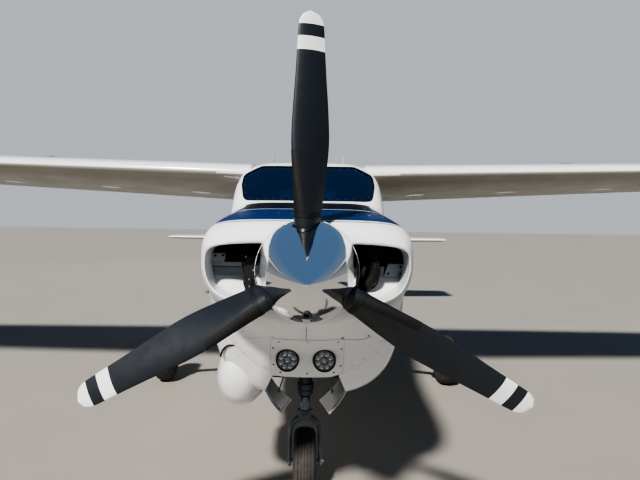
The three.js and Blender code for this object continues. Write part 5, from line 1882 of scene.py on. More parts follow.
def finnedBarrel(side, d):
    profile = [(engine["finFrom"] - 0.02, 0.0), (engine["finFrom"] - 0.02, engine["barrelRadius"])]
    pitch = (engine["finTo"] - engine["finFrom"]) / engine["fins"]
    for k in range(engine["fins"]):
        start = engine["finFrom"] + k * pitch
        radius = engine["finRadius"] * (0.92 if k < engine["fins"] * 0.6 else 1.0)
        profile += [(start, engine["barrelRadius"]), (start + 0.001, radius), (start + pitch * 0.38, radius),
                    (start + pitch * 0.46, engine["barrelRadius"])]
    profile += [(engine["finTo"] + 0.004, engine["barrelRadius"]), (engine["finTo"] + 0.004, 0.0)]
    barrel = spun(profile, (0, aft(d), engine["barrelZ"]), (side, 0, 0), 40)
    cover = block(engine["finTo"], engine["coverTo"], d - 0.085, d + 0.085, engine["barrelZ"] - 0.048,
                  engine["barrelZ"] + 0.048, 0.014, 4, side)
    pushRods = [
        rod((side * 0.140, aft(d + a), 1.225), (side * (engine["finTo"] + 0.01), aft(d + a), 1.255), 0.010,
            count=14) for a in (-0.030, 0.030)]
    return joined(barrel, *pushRods), cover


barrels, covers = [], []
for side in (-1, 1):
    for d in engine["barrels"]:
        barrel, cover = finnedBarrel(side, d)
        barrels.append(barrel)
        covers.append(cover)
crankcase = [
    block(*engine["crank"], 0.022, 4), block(*engine["sump"], 0.030, 4),
    block(*engine["rearSump"], 0.015, 3)]
crankcase += [block(-0.158, 0.158, d - 0.004, d + 0.004, 1.062, 1.478, 0.003)
              for d in spread(0.33, 0.93, 0.1)]
intake = [
    tube(smoothLine([(side * 0.09, aft(0.68), 0.96), (side * 0.22, aft(0.66), 1.06),
        (side * 0.29, aft(d), 1.15), (side * 0.295, aft(d), 1.22)], 6), 0.021, 16) for side in (-1, 1)
    for d in engine["barrels"]]
makePiece(
    "engine_castings", [(crankcase, "engineCasting"), (barrels, "engineCasting"), (covers, "blackAnodised"),
        (intake, "engineCasting")], "airframe", "engine_iron", "engine_block")

# What shows in the air inlets: baffle plates, a cooler box, the alternator and hoses.
# Columns of a plate: corners as x and height, distance aft of its foot, how far its top leans aft.
bay = {
    "right": {
        "ledge": ([(-0.432, 1.2845), (-0.236, 1.2845), (-0.236, 1.3225), (-0.432, 1.3225)], 0.3155, 0.012),
        "cheek": ([(-0.432, 1.3230), (-0.262, 1.3240), (-0.262, 1.3455), (-0.356, 1.3455), (-0.366, 1.3525),
                   (-0.368, 1.381), (-0.432, 1.381)], 0.3185, 0.002),
        "box": (-0.367, -0.236, 0.296, 0.345, 1.348, 1.428),
        "rivets": [(-0.414, 1.3705), (-0.380, 1.3715)], "rivetsAt": 0.3165,
    },
    "left": {
        "ledge": ([(0.250, 1.2845), (0.345, 1.2845), (0.352, 1.330), (0.250, 1.330)], 0.3175, 0.010),
        "cheek": ([(0.346, 1.2850), (0.430, 1.2850), (0.430, 1.375), (0.377, 1.375)], 0.3125, 0.006),
        "box": (0.258, 0.431, 0.300, 0.345, 1.348, 1.428),
        "rivets": [(0.402, 1.364), (0.421, 1.330), (0.421, 1.298), (0.366, 1.298), (0.300, 1.293)],
        "rivetsAt": 0.3115,
    },
    "plate": 0.0016,
}


def bayPlate(corners, d, lean):
    low = min(z for _, z in corners)
    high = max(z for _, z in corners)
    rings = []
    for deep in (0, bay["plate"]):
        rings.append(
            [spot(x, d + deep + lean * (z - low) / (high - low), z) for x, z in rounded(corners, 0.006, 3)])
    return loft(rings)


def ribbedHose(line, radius, pitch=0.0075, rib=0.0022, count=18):
    points = evenly(smoothLine(line, 12), pitch / 4)
    return tube(points, [radius + (rib if i % 4 in (1, 2) else 0) for i in range(len(points))], count)


alternator = {"front": spot(-0.236, 0.215, 1.362), "ribRing": 0.030, "ribs": (0.5, 1.6, 2.7, 3.8, 4.9, 6.0)}
alternatorShape = [
    spun([(0, 0), (0, 0.014), (0.004, 0.016), (0.006, 0.030), (0.014, 0.0365), (0.020, 0.037),
        (0.022, 0.034), (0.030, 0.034), (0.032, 0.037), (0.062, 0.037), (0.064, 0.034), (0.070, 0.034),
        (0.072, 0.036), (0.090, 0.033), (0.094, 0.010), (0.094, 0)], alternator["front"], (0, 1, 0), 40)]
for a in alternator["ribs"]:
    foot = alternator["front"] + Vector((math.cos(a), 0, math.sin(a))) * alternator["ribRing"]
    alternatorShape.append(rod(foot + Vector((0, 0.006, 0)), foot + Vector((0, 0.075, 0)), 0.0038, count=10))
bracket = [
    frontPrism(rounded([(-0.262, 1.375), (-0.214, 1.380), (-0.212, 1.300), (-0.218, 1.238), (-0.262, 1.232),
        (-0.273, 1.262), (-0.268, 1.300), (-0.272, 1.345)], 0.010), 0.196, 0.214),
    frontPrism(rounded([(-0.262, 1.290), (-0.236, 1.290), (-0.234, 1.240), (-0.256, 1.236)], 0.006), 0.188,
        0.1955), block(-0.266, -0.228, 0.2015, 0.250, 1.226, 1.240, 0.003)]
bracketBolts = [
    (spot(x, d, z), (0, -1, 0)) for x, z, d in ((-0.262, 1.376, 0.1955), (-0.229, 1.318, 0.1955),
        (-0.246, 1.279, 0.1875), (-0.245, 1.250, 0.1875))]
hoseLines = [
    ([(0.250, aft(0.270), 1.420), (0.268, aft(0.215), 1.398), (0.290, aft(0.196), 1.352),
        (0.284, aft(0.200), 1.300), (0.262, aft(0.230), 1.252), (0.240, aft(0.290), 1.232)], 0.0195),
    ([(0.246, aft(0.320), 1.372), (0.250, aft(0.235), 1.362), (0.246, aft(0.205), 1.330),
        (0.238, aft(0.22), 1.290)], 0.011)]
cables = [
    [(0.318, aft(0.310), 1.402), (0.304, aft(0.230), 1.380), (0.312, aft(0.205), 1.330),
        (0.300, aft(0.215), 1.262), (0.276, aft(0.250), 1.235)],
    [(0.258, aft(0.300), 1.436), (0.300, aft(0.250), 1.412), (0.322, aft(0.270), 1.392),
        (0.336, aft(0.315), 1.372)], [(-0.226, aft(0.300), 1.412), (-0.262, aft(0.210), 1.404),
        (-0.281, aft(0.205), 1.372), (-0.272, aft(0.235), 1.300)]]
hangerPlate = frontPrism(
    rounded([(0.236, 1.352), (0.268, 1.340), (0.290, 1.300), (0.286, 1.250), (0.262, 1.228),
        (0.240, 1.240)], 0.008), 0.243, 0.247)
for name, side in sides.items():
    setup = bay[name]
    plates = joined(bayPlate(*setup["ledge"]), bayPlate(*setup["cheek"]))
    heads = studs(
        [(spot(x, setup["rivetsAt"], z), (0, -1, 0)) for x, z in setup["rivets"]], 0.0055, 0.0014, 10)
    x0, x1, d0, d1, z0, z1 = setup["box"]
    cooler = [
        block(x0, x1, d0, d1, z0, z1, 0.004, 3), block(x0 - 0.003, x1 + 0.003, d0 - 0.003, d0 + 0.004,
            z0 - 0.004, z0 + 0.006, 0.001)]
    cooler += [
        block(x, x + 0.0022, d0 - 0.0028, d0 + 0.002, z0 + 0.010, z1 - 0.008, 0.0006, 1)
        for x in spread(x0 + 0.010, x1 - 0.012, 0.0085)]
    makePiece(
        f"inlet_baffles_{name}", [(plates, "baffleSheet"), (heads, "blackAnodised"),
            (cooler, "blackAnodised"), (block(0.215, 0.432, 0.3465, 0.352, 1.286, 1.436, 0.001, side=side),
            "primer")], "airframe", "engine_iron")
makePiece(
    "alternator", [(alternatorShape, "blackAnodised"), (bracket, "sealRubber"),
        (studs(bracketBolts, 0.0052, 0.004, 6), "stainless"),
        (tube(smoothLine(cables[2], 8), 0.0038, 10), "sealRubber")], "airframe", "engine_iron")
makePiece(
    "inlet_hoses", [([ribbedHose(*hose) for hose in hoseLines], "sealRubber"),
        ([tube(smoothLine(cable, 8), 0.0034, 10) for cable in cables[:2]], "sealRubber"),
        (hangerPlate, "blackAnodised")], "airframe", "engine_iron")

# Firewall: stainless sheet with stiffening beads.
firewallRing = carve(
    bodySolid(1.045, 1.057, 0.005, 0.006), box(-well["half"], well["half"], 1.0, 1.1, 0.3, 0.70))
beads = [block(-0.36, 0.36, 1.040, 1.046, z - 0.009, z + 0.009, 0.0028, 2) for z in (0.90, 1.08, 1.26, 1.44)]
makePiece(
    "firewall_sheet", [(firewallRing, "stainless"), (beads, "stainless")], "airframe", "steel", "firewall")
print("engine made")

# Landing lamps: two round clusters of light-emitting diodes under one clear lens each.
lampLook = {"front": 0.358, "cellRing": 0.0305, "cells": 8, "cell": 0.0102}


def lampCell(x, z):
    size = lampLook["cell"]
    profile = [
        (0.012, 0.0), (0.012, size * 0.30), (0.006, size * 0.66), (0.001, size * 0.92), (0.0, size),
        (0.002, size * 1.08), (0.014, size * 1.08), (0.014, 0.0)]
    return spun(profile, (x, aft(lampLook["front"] + 0.006), z), (0, 1, 0), 24)


lampParts = []
for side in (-1, 1):
    x, z, r = side * lamp["x"], lamp["z"], lamp["radius"] - 0.0005
    centre = spot(x, lampLook["front"], z)
    bezel = hoop(
        [(0.0, r - 0.0048), (0.0, r - 0.0012), (0.0014, r), (0.078, r), (0.078, r - 0.006),
            (0.016, r - 0.006), (0.004, r - 0.006)], centre, (0, 1, 0), 64)
    plate = spun([(0.017, 0.0), (0.017, r - 0.005), (0.020, r - 0.005), (0.020, 0.0)], centre, (0, 1, 0), 48)
    cells = [(x, z)] + [
        (x + lampLook["cellRing"] * math.cos(a), z + lampLook["cellRing"] * math.sin(a))
        for a in around(lampLook["cells"], 0.5)]
    diodes = studs(
        [(spot(a, lampLook["front"] + 0.0178, b), (0, -1, 0)) for a, b in cells], 0.0034, 0.0018, 10)
    lens = spun(
        [(0.0032, 0.0), (0.0024, r * 0.5), (0.0036, r - 0.0062), (0.0056, r - 0.0062), (0.0052, 0.0)],
        centre, (0, 1, 0), 48)
    lampParts += [
        (bezel, "blackAnodised"), (plate, "primer"),
        ([lampCell(*cell) for cell in cells], "polishedAluminium"),
        (diodes, "dialWhite"), (lens, "clearLens")]
makePiece("landing_lamp_clusters", lampParts, "airframe", "lamp", "landing_lamps")


# Seams and screws of the chin under the propeller, as distance from the middle and height.
def onFront(x, z, low=0.111, high=0.62):
    return spot(x, depthAt(x, z, low, high), z)


def headOn(x, z, low=0.111, high=0.62):
    point = onFront(x, z, low, high)
    return point, skinOut(point)


def seamOn(line, pitch, radius):
    flat = smoothLine([(x, z, 0) for x, z in line], 6)
    return tube([onFront(x, z) for x, z, _ in evenly(flat, pitch)], radius, 6)


chin = {
    "seams": [[(-0.150, 1.003), (-0.075, 1.008), (0.0, 1.009), (0.110, 1.004), (0.180, 0.996),
        (0.243, 0.988), (0.276, 0.991), (0.300, 1.004)], [(0.0, 1.098), (0.0, 1.010)]],
    "fineSeams": [[(-0.160, 1.001), (-0.164, 0.940), (-0.166, 0.870), (-0.166, 0.800)],
        [(0.174, 0.996), (0.176, 0.940), (0.176, 0.870), (0.174, 0.800)],
        [(-0.290, 0.985), (-0.250, 0.987), (-0.205, 0.998), (-0.150, 1.003)]],
    "screws": [(-0.1507, 1.016), (0.288, 1.006), (-0.124, 0.981), (0.008, 0.991), (0.146, 0.983),
        (-0.152, 0.944), (0.164, 0.942), (-0.152, 0.853), (0.164, 0.850), (-0.120, 0.812), (0.006, 0.809),
        (0.133, 0.813)], "smallScrews": [(-0.010, 1.073), (0.010, 1.073), (-0.013, 1.022), (0.013, 1.022)],
    "latch": (0.163, 1.011)}
seamLines = [seamOn(line, 0.008, 0.0013) for line in chin["seams"]]
fineLines = [seamOn(line, 0.01, 0.0006) for line in chin["fineSeams"]]
heads = studs([headOn(*at) for at in chin["screws"]], 0.0048, 0.0022, 10)
smallHeads = studs([headOn(*at) for at in chin["smallScrews"]], 0.0030, 0.0012, 8)
latch = studs([headOn(*chin["latch"])], 0.0085, 0.004, 14)
lampRings = []
for side in (-1, 1):
    ringAt = [onFront(side * lamp["x"] + 0.0572 * math.cos(a), lamp["z"] + 0.0572 * math.sin(a))
              for a in around(48)]
    lampRings.append(tube(ringAt, 0.0028, 8, ring=True))
makePiece(
    "chin_fittings", [(seamLines, "sealRubber"), (fineLines, "mouldedTrim"), (heads, "blackAnodised"),
        (smallHeads, "mouldedTrim"), (latch, "blackAnodised"), (lampRings, "whitePaint")], "airframe",
    "white_paint")

# Low in the middle, behind the spinner: two small round vents.
vents = [
    spun([(-0.004, 0.0), (-0.004, 0.012), (0.001, 0.0125), (0.001, 0.0)], onFront(s * 0.060, 1.118),
        (0, 1, 0), 28) for s in (-1, 1)]
makePiece("shaft_vents", [(vents, "sealRubber")], "airframe", "white_paint")

# Cooling flare ahead of the exhaust fairing, with its rubber lip. Columns: aft, x, height.
flare = {
    "edge": [(0.405, -0.262, 0.935), (0.430, -0.305, 0.935), (0.455, -0.350, 0.932), (0.480, -0.385, 0.918),
        (0.500, -0.407, 0.893), (0.510, -0.418, 0.862)], "lip": 0.0050}
flareLine = evenly(smoothLine([(x, aft(d), z) for d, x, z in flare["edge"]], 8), 0.008)
flareSteps = [(0, 0, 0), (0.006, 0.055, 0.030), (0.020, 0.130, 0.052)]
flareSheet = loft([[p + Vector(step) for p in flareLine] for step in flareSteps], closed=False, caps=False)
makePiece(
    "cooling_flare", [(tube(flareLine, flare["lip"], 10), "sealRubber"), (flareSheet, "whitePaint")],
    "airframe", "white_paint")

# Fasteners round the cowling and rivets along the fuselage.
bowlScrews = ringRivets(0.4375, 0.062, lambda p: p.z > 0.82) + ringRivets(0.4640, 0.062, lambda p: p.z > 0.82)
backScrews = ringRivets(1.0560, 0.075, lambda p: p.z > 0.74)
splitScrews = [
    sideHead(d, z, side) for side in (-1, 1) for d in spread(0.49, 1.03, 0.068) for z in (1.200, 1.230)]
makePiece(
    "cowl_screws", [(studs(bowlScrews + splitScrews + backScrews, 0.0040, 0.0014, 8), "stainless")],
    "airframe", "polished_metal")


def lowSkin(p):
    return p.z < layout["sill"] - 0.03 and not (abs(p.x) < well["half"] and p.y < aft(1.12))


bodyRivets = ringRivets(1.0850, 0.028, lambda p: p.z > 0.62) + ringRivets(1.3850, 0.028)
for d in (1.420, 2.620, 3.150, 3.700, 4.280):
    bodyRivets += ringRivets(d, 0.028, lowSkin)
for d in (4.320, 4.900, 4.920, 5.500, 5.520, 6.100, 6.120, 6.700, 6.720, 7.200):
    bodyRivets += ringRivets(d, 0.028)
# rows along the sides: start, end, and how far down they run from the widest line, or up if negative
for side in (-1, 1):
    for low, high, share in ((2.64, 7.1, 0.35), (2.64, 7.1, 0.88), (4.34, 7.2, -0.55)):
        for d in spread(low, high, 0.030):
            _, widest, top, bottom, *_ = bodyAt(d)
            room = widest - bottom if share > 0 else top - widest
            bodyRivets.append(sideHead(d, widest - room * share, side))
makePiece("fuselage_rivets", [(studs(bodyRivets, 0.0026, 0.0009, 6), "livery")], "airframe", "white_paint")
print("nose fittings made")

# Cabin: carpet, panel with its instruments, control wheels and padded seats.
cabinIn = {"floorZ": 0.7400, "floorLow": 0.7205, "inset": 0.0405}
carpet = carve(
    bodySolid(1.406, 3.998, cabinIn["inset"], 0.05), box(-0.7, 0.7, 1.3, 4.1, cabinIn["floorLow"],
        cabinIn["floorZ"]), mode="INTERSECT")
rails = [block(x - 0.012, x + 0.012, 1.90, 2.60, cabinIn["floorZ"] - 0.001, cabinIn["floorZ"] + 0.0065, 0.002)
         for x in (-0.365, -0.065, 0.065, 0.365)]
bulkhead = bodySolid(4.262, 4.294, cabinIn["inset"] + 0.001, 0.02)
makePiece(
    "cabin_carpet", [(carpet, "loopCarpet"), (rails, "baffleSheet"), (bulkhead, "mouldedTrim")], "airframe",
    "cabin_trim", "cabin_floor")

panel = {"at": 1.545, "thick": 0.025, "low": 1.130, "high": 1.610, "dial": 0.038, "smallDial": 0.026}
dash = carve(bodySolid(panel["at"], panel["at"] + panel["thick"], cabinIn["inset"] + 0.001, 0.02),
             box(-0.7, 0.7, 1.5, 1.6, panel["low"], panel["high"]), mode="INTERSECT")


def dial(x, z, radius, needle):
    face = spot(x, panel["at"] + panel["thick"], z)
    ringShape = hoop(
        [(-0.002, radius), (0.006, radius), (0.008, radius * 0.94), (0.006, radius * 0.86),
            (-0.002, radius * 0.86)], face, (0, 1, 0), 36)
    plate = spun(
        [(-0.001, 0), (-0.001, radius * 0.87), (0.0015, radius * 0.87), (0.0015, 0)], face, (0, 1, 0), 32)

    def mark(turn, start, end, lift, *radii):
        way = Vector((math.cos(turn), 0, math.sin(turn))) * radius
        raised = face + Vector((0, lift, 0))
        return rod(raised + way * start, raised + way * end, *radii, count=4)

    marks = [mark(a, 0.68, 0.80, 0.0018, 0.0007) for a in around(12)]
    return ringShape, plate, joined(*marks, mark(needle, -0.15, 0.62, 0.0030, 0.0010, 0.0004))


dialRows = [(x, z, panel["dial"]) for z in (1.470, 1.380) for x in (0.130, 0.220, 0.310)]
dialRows += [(x, z, panel["smallDial"]) for z in (1.500, 1.435, 1.370) for x in (-0.150, -0.215, -0.280)]
dialRows += [(x, 1.270, panel["smallDial"]) for x in (0.10, 0.165, 0.355, 0.42)]
dialRims, dialPlates, dialMarks = map(
    list, zip(*[dial(*row, 0.6 + 0.9 * i) for i, row in enumerate(dialRows)]))
face = panel["at"] + panel["thick"]
# radios: height of the middle, and how tall the unit and its screen are
radioRows = [(1.500, 0.070, 0.050), (1.425, 0.070, 0.050), (1.360, 0.050, 0.024), (1.305, 0.050, 0.024),
             (1.250, 0.050, 0.024)]
radios = [
    block(-0.095, 0.075, face - 0.001, face + 0.008, z - h / 2, z + h / 2, 0.002) for z, h, _ in radioRows]
screens = [block(-0.070, 0.050, face + 0.007, face + 0.0090, z - h / 2, z + h / 2, 0.0006, 1)
           for z, _, h in radioRows]
knobs = [spun([(0, 0), (0, 0.007), (0.012, 0.006), (0.013, 0.0)], (x, aft(face + 0.008), z), (0, 1, 0), 16)
         for x in (-0.084, 0.064) for z in (1.515, 1.440, 1.360, 1.305, 1.250)]
levers = [
    rod((x, aft(face), 1.185), (x, aft(face + 0.055), 1.190), 0.004, count=10) for x in (-0.03, 0.0, 0.03)]
leverKnobs = [
    spun([(0, 0.005), (0.002, 0.012), (0.018, 0.013), (0.024, 0.008), (0.025, 0)],
        (x, aft(face + 0.050), 1.190), (0, 1, 0), 20) for x in (-0.03, 0.0, 0.03)]
switches = [
    rod((0.09 + 0.022 * k, aft(face), 1.195), (0.09 + 0.022 * k, aft(face + 0.016), 1.200), 0.0026, count=8)
    for k in range(12)]


def hoodRing(x):
    droop = 0.10 * (abs(x) / 0.46) ** 3
    brow = [(face + 0.048, 1.590 - droop), (face + 0.052, 1.582 - droop), (face + 0.044, 1.578 - droop)]
    return [spot(x, d, z) for d, z in [(1.480, 1.598), *brow, (1.480, 1.588)]]


hood = loft([hoodRing(x) for x in spread(-0.46, 0.46, 0.02)])


def controlWheel(side):
    x, z, d = side * 0.260, 1.330, face + 0.195
    grip = smoothLine(
        [(x + s * a, aft(d + b), z + c) for s, a, b, c in ((-1, 0.100, -0.010, 0.024),
            (-1, 0.117, 0.0, 0.010), (-1, 0.108, 0.004, -0.016), (-1, 0.050, 0.0, -0.021),
            (1, 0.0, -0.002, -0.021), (1, 0.050, 0.0, -0.021), (1, 0.108, 0.004, -0.016),
            (1, 0.117, 0.0, 0.010), (1, 0.100, -0.010, 0.024))], 8)
    return (
        rod((x, aft(face - 0.01), z), (x, aft(d - 0.002), z), 0.0115, count=24),
        joined(tube(grip, 0.0085, 14), block(x - 0.026, x + 0.026, d - 0.008, d + 0.008, z - 0.022,
            z + 0.020, 0.006, 3)))


columns, wheels = map(list, zip(*[controlWheel(side) for side in (-1, 1)]))
makePiece("panel_and_wheels", [
    (dash, "crackle"), (dialRims, "blackAnodised"), (dialPlates, "primer"),
    (dialMarks, "dialWhite"), (radios, "blackAnodised"), (screens, "primer"),
    (knobs, "mouldedTrim"), (levers, "stainless"), (leverKnobs, "sealRubber"),
    (switches, "stainless"), (hood, "crackle"), (columns, "platedSteel"), (wheels, "sealRubber")],
    "airframe", "cabin_trim", "instrument_panel")


# A crowned cushion: its sides pull in between the corners, channels are sewn across its top, and
# a piped seam runs round its edge. Size is width, length and thickness before it is placed.
def cushion(size, place, channels, across=(), pinch=0.035, count=72):
    width, length, thick = (v / 2 for v in size)

    def edge(a):
        c, s = math.cos(a), math.sin(a)
        pull = 1 - pinch * math.cos(2 * a) ** 2
        return (
            width * math.copysign(abs(c) ** 0.42, c) * pull, length * math.copysign(abs(s) ** 0.42, s)
            * pull)

    def sewn(x, y):
        drop = sum(math.exp(-((x - c) / 0.007) ** 2) for c in channels)
        return 0.0075 * (drop + sum(math.exp(-((y - c) / 0.007) ** 2) for c in across))

    rim = [edge(a) for a in around(count)]
    rings = []
    steps = [1 - (1 - k / 22) ** 1.6 for k in range(1, 23)]
    for rho in steps:
        crown = thick * (1 - rho ** 4.2) ** 0.48
        rings.append([place @ Vector((x * rho, y * rho, crown - sewn(x * rho, y * rho) * (1 - rho ** 6)))
                      for x, y in rim])
    for rho in reversed(steps[:-1]):
        flat = -thick * (1 - rho ** 7) ** 0.6 * 0.92
        rings.append([place @ Vector((x * rho, y * rho, flat)) for x, y in rim])
    piping = tube([place @ Vector((x, y, 0.0)) for x, y in rim], 0.0032, 8, ring=True)
    return loft(rings), piping


# Columns: front edge aft, x, width, size against the front seats, places side by side.
seatRows = {
    "seat_front_right": (1.960, -0.215, 0.400, 1.0, 1), "seat_front_left": (1.960, 0.215, 0.400, 1.0, 1),
    "seat_middle": (2.700, 0.0, 0.780, 0.97, 2), "seat_rear": (3.330, 0.0, 0.440, 0.74, 1),
}
for name, (front, x, width, scale, places) in seatRows.items():
    z0 = cabinIn["floorZ"] + 0.0004

    def seatPoint(x, d, z):
        return spot(x, front + d * scale, z0 + z * scale)

    frameParts, covers, pipes = [], [], []
    for s in (-1, 1):
        edgeX = x + s * (width / 2 - 0.030)
        frameParts += [rod(seatPoint(edgeX, a, 0.012 / scale), seatPoint(edgeX, b, 0.255), 0.011, count=14)
                       for a, b in ((0.032, 0.072), (0.455, 0.490))]
        frameParts.append(
            block(edgeX - 0.014, edgeX + 0.014, front + 0.005, front + 0.478 * scale, z0, z0 + 0.018,
                0.003))
        frameParts.append(rod(seatPoint(edgeX, 0.500, 0.28), seatPoint(edgeX, 0.560, 0.62), 0.010, count=14))
    frameParts.append(
        block(x - width / 2 + 0.015, x + width / 2 - 0.015, front + 0.05 * scale, front + 0.47 * scale,
            z0 + 0.238 * scale, z0 + 0.262 * scale, 0.006))
    frameParts.append(
        block(x - width / 2 + 0.03, x + width / 2 - 0.03, front + 0.547 * scale, front + 0.556 * scale,
            z0 + 0.40 * scale, z0 + 0.80 * scale, 0.003))
    each = width / places
    for k in range(places):
        mid = x - width / 2 + each * (k + 0.5)
        lines = [each * f for f in (-0.24, 0.0, 0.24)] if each > 0.3 else [0.0]
        base = Matrix.Translation(seatPoint(mid, 0.240, 0.318)) @ Matrix.Rotation(math.radians(-3), 4, "X")
        back = Matrix.Translation(seatPoint(mid, 0.535, 0.630)) @ Matrix.Rotation(math.radians(103), 4, "X")
        for size, place, across in (
                ((each - 0.006, 0.455 * scale, 0.118 * scale), base, (0.10 * scale,)),
                ((each - 0.012, 0.500 * scale, 0.082 * scale), back, (-0.14 * scale, 0.14 * scale))):
            pad, piping = cushion(size, place, lines, across)
            covers.append(pad)
            pipes.append(piping)
    makePiece(f"{name}_frame", [(frameParts, "gearPaint")], "airframe", "cabin_trim")
    piece = makePiece(f"{name}_cushions", [(covers, "seatLeather"), (pipes, "seatLeather")], "airframe",
                      "seat_cover", name, sharp=60)

# Rubber seals round the windows and the windshield, door handles, roof aerials
# and the lamps of the wing tips.
for name, side in sides.items():
    for place, body in (("middle", "airframe"), ("rear", "airframe"), ("door", f"cabin_door_{name}")):
        ring = evenly(
            [(d, z, 0) for d, z in rounded(windowOutlines[place], cornerRadius["window"])], 0.012,
            ring=True)
        seal = tube([onSide(d, z, side, -0.001) for d, z, _ in ring], 0.0032, 8, ring=True)
        inner = tube([onSide(d, z, side, -0.0400) for d, z, _ in ring], 0.0050, 8, ring=True)
        makePiece(
            f"window_seal_{place}_{name}", [(seal, "sealRubber"), (inner, "mouldedTrim")], body, "rubber")
    half = halfAt(2.40, 1.130)
    x0, x1 = sorted((side * (half - 0.006), side * (half + 0.0035)))
    plate = sidePrism(
        rounded([(2.325, 1.112), (2.475, 1.112), (2.475, 1.152), (2.325, 1.152)], 0.012), x0, x1)
    x0, x1 = sorted((side * (half + 0.002), side * (half + 0.0075)))
    paddle = sidePrism(
        rounded([(2.335, 1.120), (2.440, 1.120), (2.440, 1.144), (2.335, 1.144)], 0.008), x0, x1)
    lock = studs([(spot(side * (half + 0.003), 2.400, 1.088), (side, 0, 0))], 0.010, 0.003, 20)
    armRest = block(half - 0.085, half - 0.038, 1.98, 2.36, 1.150, 1.185, 0.010, 3, side)
    pull = tube(
        smoothLine([(side * (half - 0.040), aft(1.86), 1.19), (side * (half - 0.060), aft(1.875), 1.195),
            (side * (half - 0.060), aft(1.945), 1.205), (side * (half - 0.040), aft(1.96), 1.21)], 6), 0.006,
        12)
    makePiece(
        f"door_handle_{name}", [(plate, "polishedAluminium"), (paddle, "polishedAluminium"),
            (lock, "stainless"), (armRest, "mouldedTrim"), (pull, "sealRubber")], f"cabin_door_{name}",
        "polished_metal")
frameRing = evenly(
    [(x, z, 0) for x, z in rounded(frontOutlines["windshield"][0], cornerRadius["windshield"])], 0.012,
    ring=True)
frameSeal = tube([onFront(x, z, 1.30, 2.05) for x, z, _ in frameRing], 0.0034, 8, ring=True)
outer = evenly(
    [(x, z, 0) for x, z in rounded(shrunk(frontOutlines["windshield"][0], -0.016), 0.06)], 0.055, ring=True)
frameScrews = [headOn(x, z, 1.30, 2.05) for x, z, _ in outer if z > 1.655]
makePiece(
    "windshield_seal", [(frameSeal, "sealRubber"), (studs(frameScrews, 0.0036, 0.0012, 8), "stainless")],
    "airframe", "rubber")
probe = joined(
    rod((-0.500, aft(1.700), 1.830), (-0.612, aft(1.690), 1.842), 0.0052, 0.0042, 14, edge=0.001),
    spun([(0, 0.012), (0.003, 0.012), (0.004, 0.008), (0.004, 0)], (-0.522, aft(1.698), 1.8325),
        (-1, 0, 0.1), 20))
makePiece("air_temperature_probe", [(probe, "stainless")], "airframe", "polished_metal")
# Roof aerials. Columns: height over the foot, start and end aft of it, half thickness.
aerial = [
    (-0.010, 0.0, 0.150, 0.006), (0.0, 0.0, 0.150, 0.006), (0.045, 0.023, 0.136, 0.0056),
    (0.090, 0.046, 0.117, 0.0046), (0.118, 0.060, 0.103, 0.0034), (0.127, 0.065, 0.097, 0.0024),
    (0.130, 0.070, 0.092, 0.0008)]
aerials = []
aerialX, aerialAt, aerialFoot = 0.300, 2.350, 1.968
for side in (-1, 1):
    x = side * aerialX
    rings = []
    for rise, start, end, half in aerial:
        mid, long_ = aerialAt + (start + end) / 2, (end - start) / 2
        rings.append(
            [spot(x + half * math.sin(a) * (1 - 0.35 * math.cos(a)), mid - long_ * math.cos(a),
                aerialFoot + rise) for a in around(28)])
    aerials += [
        loft(rings), block(x - 0.016, x + 0.016, aerialAt - 0.010, aerialAt + 0.162, aerialFoot - 0.006,
            aerialFoot + 0.0045, 0.002)]
makePiece("roof_aerials", [(aerials, "whitePaint")], "airframe", "white_paint")
for (name, side), colour in zip(sides.items(), ("greenLens", "redLens")):
    lens = spun(
        [(-0.060, 0.0), (-0.052, 0.010), (-0.030, 0.017), (0.0, 0.019), (0.035, 0.015), (0.055, 0.006),
            (0.060, 0.0)], (side * 5.588, aft(2.120), 2.030), (0, 1, 0), 28)
    makePiece(f"wing_tip_lamp_{name}", [(lens, colour)], "airframe", "lamp")
print("cabin fittings made")

# Floor and light.
studio = {
    "floor": "#a29e97", "sky": "#86acd9", "horizon": "#c6cacd", "skyStrength": 0.13,
    "backdrop": "#c3c9cf", "backdropStrength": 0.75, "mirrorStrength": 0.42, "aim": (0, -2.2, 1.0),
    "key": {"place": (-3.6, -11.4, 10.2), "strength": 4.6, "angle": 4.5, "colour": (1.0, 0.955, 0.90)},
    "fill": {"place": (8.0, -3.0, 6.0), "size": 7.0, "power": 25, "colour": (0.90, 0.95, 1.0)},
    "back": {"place": (-5.0, 10.0, 8.0), "size": 7.0, "power": 70, "colour": (0.93, 0.96, 1.0)},
}


def makeFloor():
    mesh = bpy.data.meshes.new("studio_floor")
    size = 60
    mesh.from_pydata(
        [(-size, -size, 0), (size, -size, 0), (size, size, 0), (-size, size, 0)], [], [(0, 1, 2, 3)])
    mesh.materials.append(
        makeFinish("floor_painted_concrete", studio["floor"], "#a8a49d", (0.7, 0.85), patch=900, grain=3,
            relief=0.05))
    floor = bpy.data.objects.new("studio_floor", mesh)
    bpy.context.scene.collection.objects.link(floor)


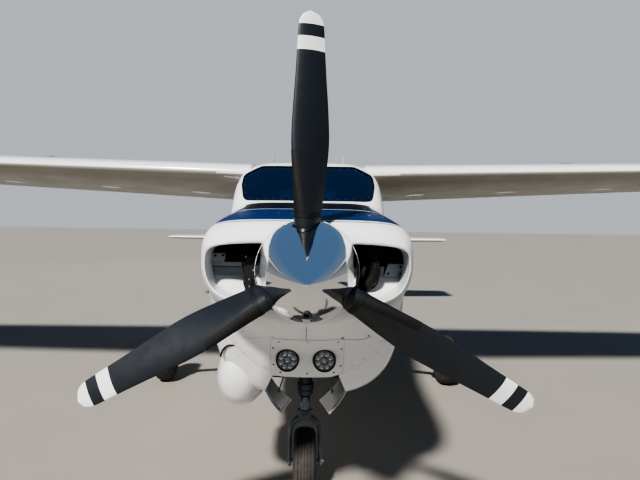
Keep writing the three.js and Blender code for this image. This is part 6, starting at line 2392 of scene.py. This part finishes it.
def makeLights():
    for name in ("key", "fill", "back"):
        setup = studio[name]
        if name == "key":
            data = bpy.data.lights.new(name, "SUN")
            data.energy, data.angle = setup["strength"], math.radians(setup["angle"])
        else:
            data = bpy.data.lights.new(name, "AREA")
            data.shape, data.size, data.energy = "DISK", setup["size"], setup["power"]
        data.color = setup["colour"]
        light = bpy.data.objects.new(name, data)
        light.visible_glossy = name == "key"  # the discs would show in the spinner
        light.location = setup["place"]
        way = Vector(studio["aim"]) - Vector(setup["place"])
        light.rotation_euler = way.to_track_quat("-Z", "Y").to_euler()
        bpy.context.scene.collection.objects.link(light)
    world = bpy.data.worlds.new("studio")
    bpy.context.scene.world = world
    world.use_nodes = True
    tree = world.node_tree
    place = addNode(tree, "ShaderNodeTexCoord")
    axes = addNode(tree, "ShaderNodeSeparateXYZ", links={0: place.outputs["Generated"]})
    rise = addNode(
        tree, "ShaderNodeMapRange", {"From Min": -0.05, "From Max": 0.45}, {"Value": axes.outputs["Z"]})
    shade = addNode(
        tree, "ShaderNodeMix", {"data_type": "RGBA", 6: linear(studio["horizon"]),
            7: linear(studio["sky"])}, {0: rise.outputs[0]})
    background = tree.nodes["Background"]
    background.inputs["Strength"].default_value = studio["skyStrength"]
    tree.links.new(shade.outputs[2], background.inputs["Color"])
    # what the camera sees behind the floor is a plain pale backdrop
    backdrop = addNode(
        tree, "ShaderNodeBackground", {"Color": linear(studio["backdrop"]),
            "Strength": studio["backdropStrength"]})
    path = addNode(tree, "ShaderNodeLightPath")
    skyInMirror = addNode(
        tree, "ShaderNodeBackground", {"Strength": studio["mirrorStrength"]}, {"Color": shade.outputs[2]})
    glossy = addNode(
        tree, "ShaderNodeMixShader", links={0: path.outputs["Is Glossy Ray"], 1: background.outputs[0],
            2: skyInMirror.outputs[0]})
    mixed = addNode(
        tree, "ShaderNodeMixShader", links={0: path.outputs["Is Camera Ray"], 1: glossy.outputs[0],
            2: backdrop.outputs[0]})
    tree.links.new(mixed.outputs[0], tree.nodes["World Output"].inputs["Surface"])
    view = bpy.context.scene.view_settings
    print("view", view.view_transform, view.look, view.exposure)
    view.look = "AgX - High Contrast" if view.view_transform == "AgX" else view.look


makeFloor()
makeLights()

print("scene ready")
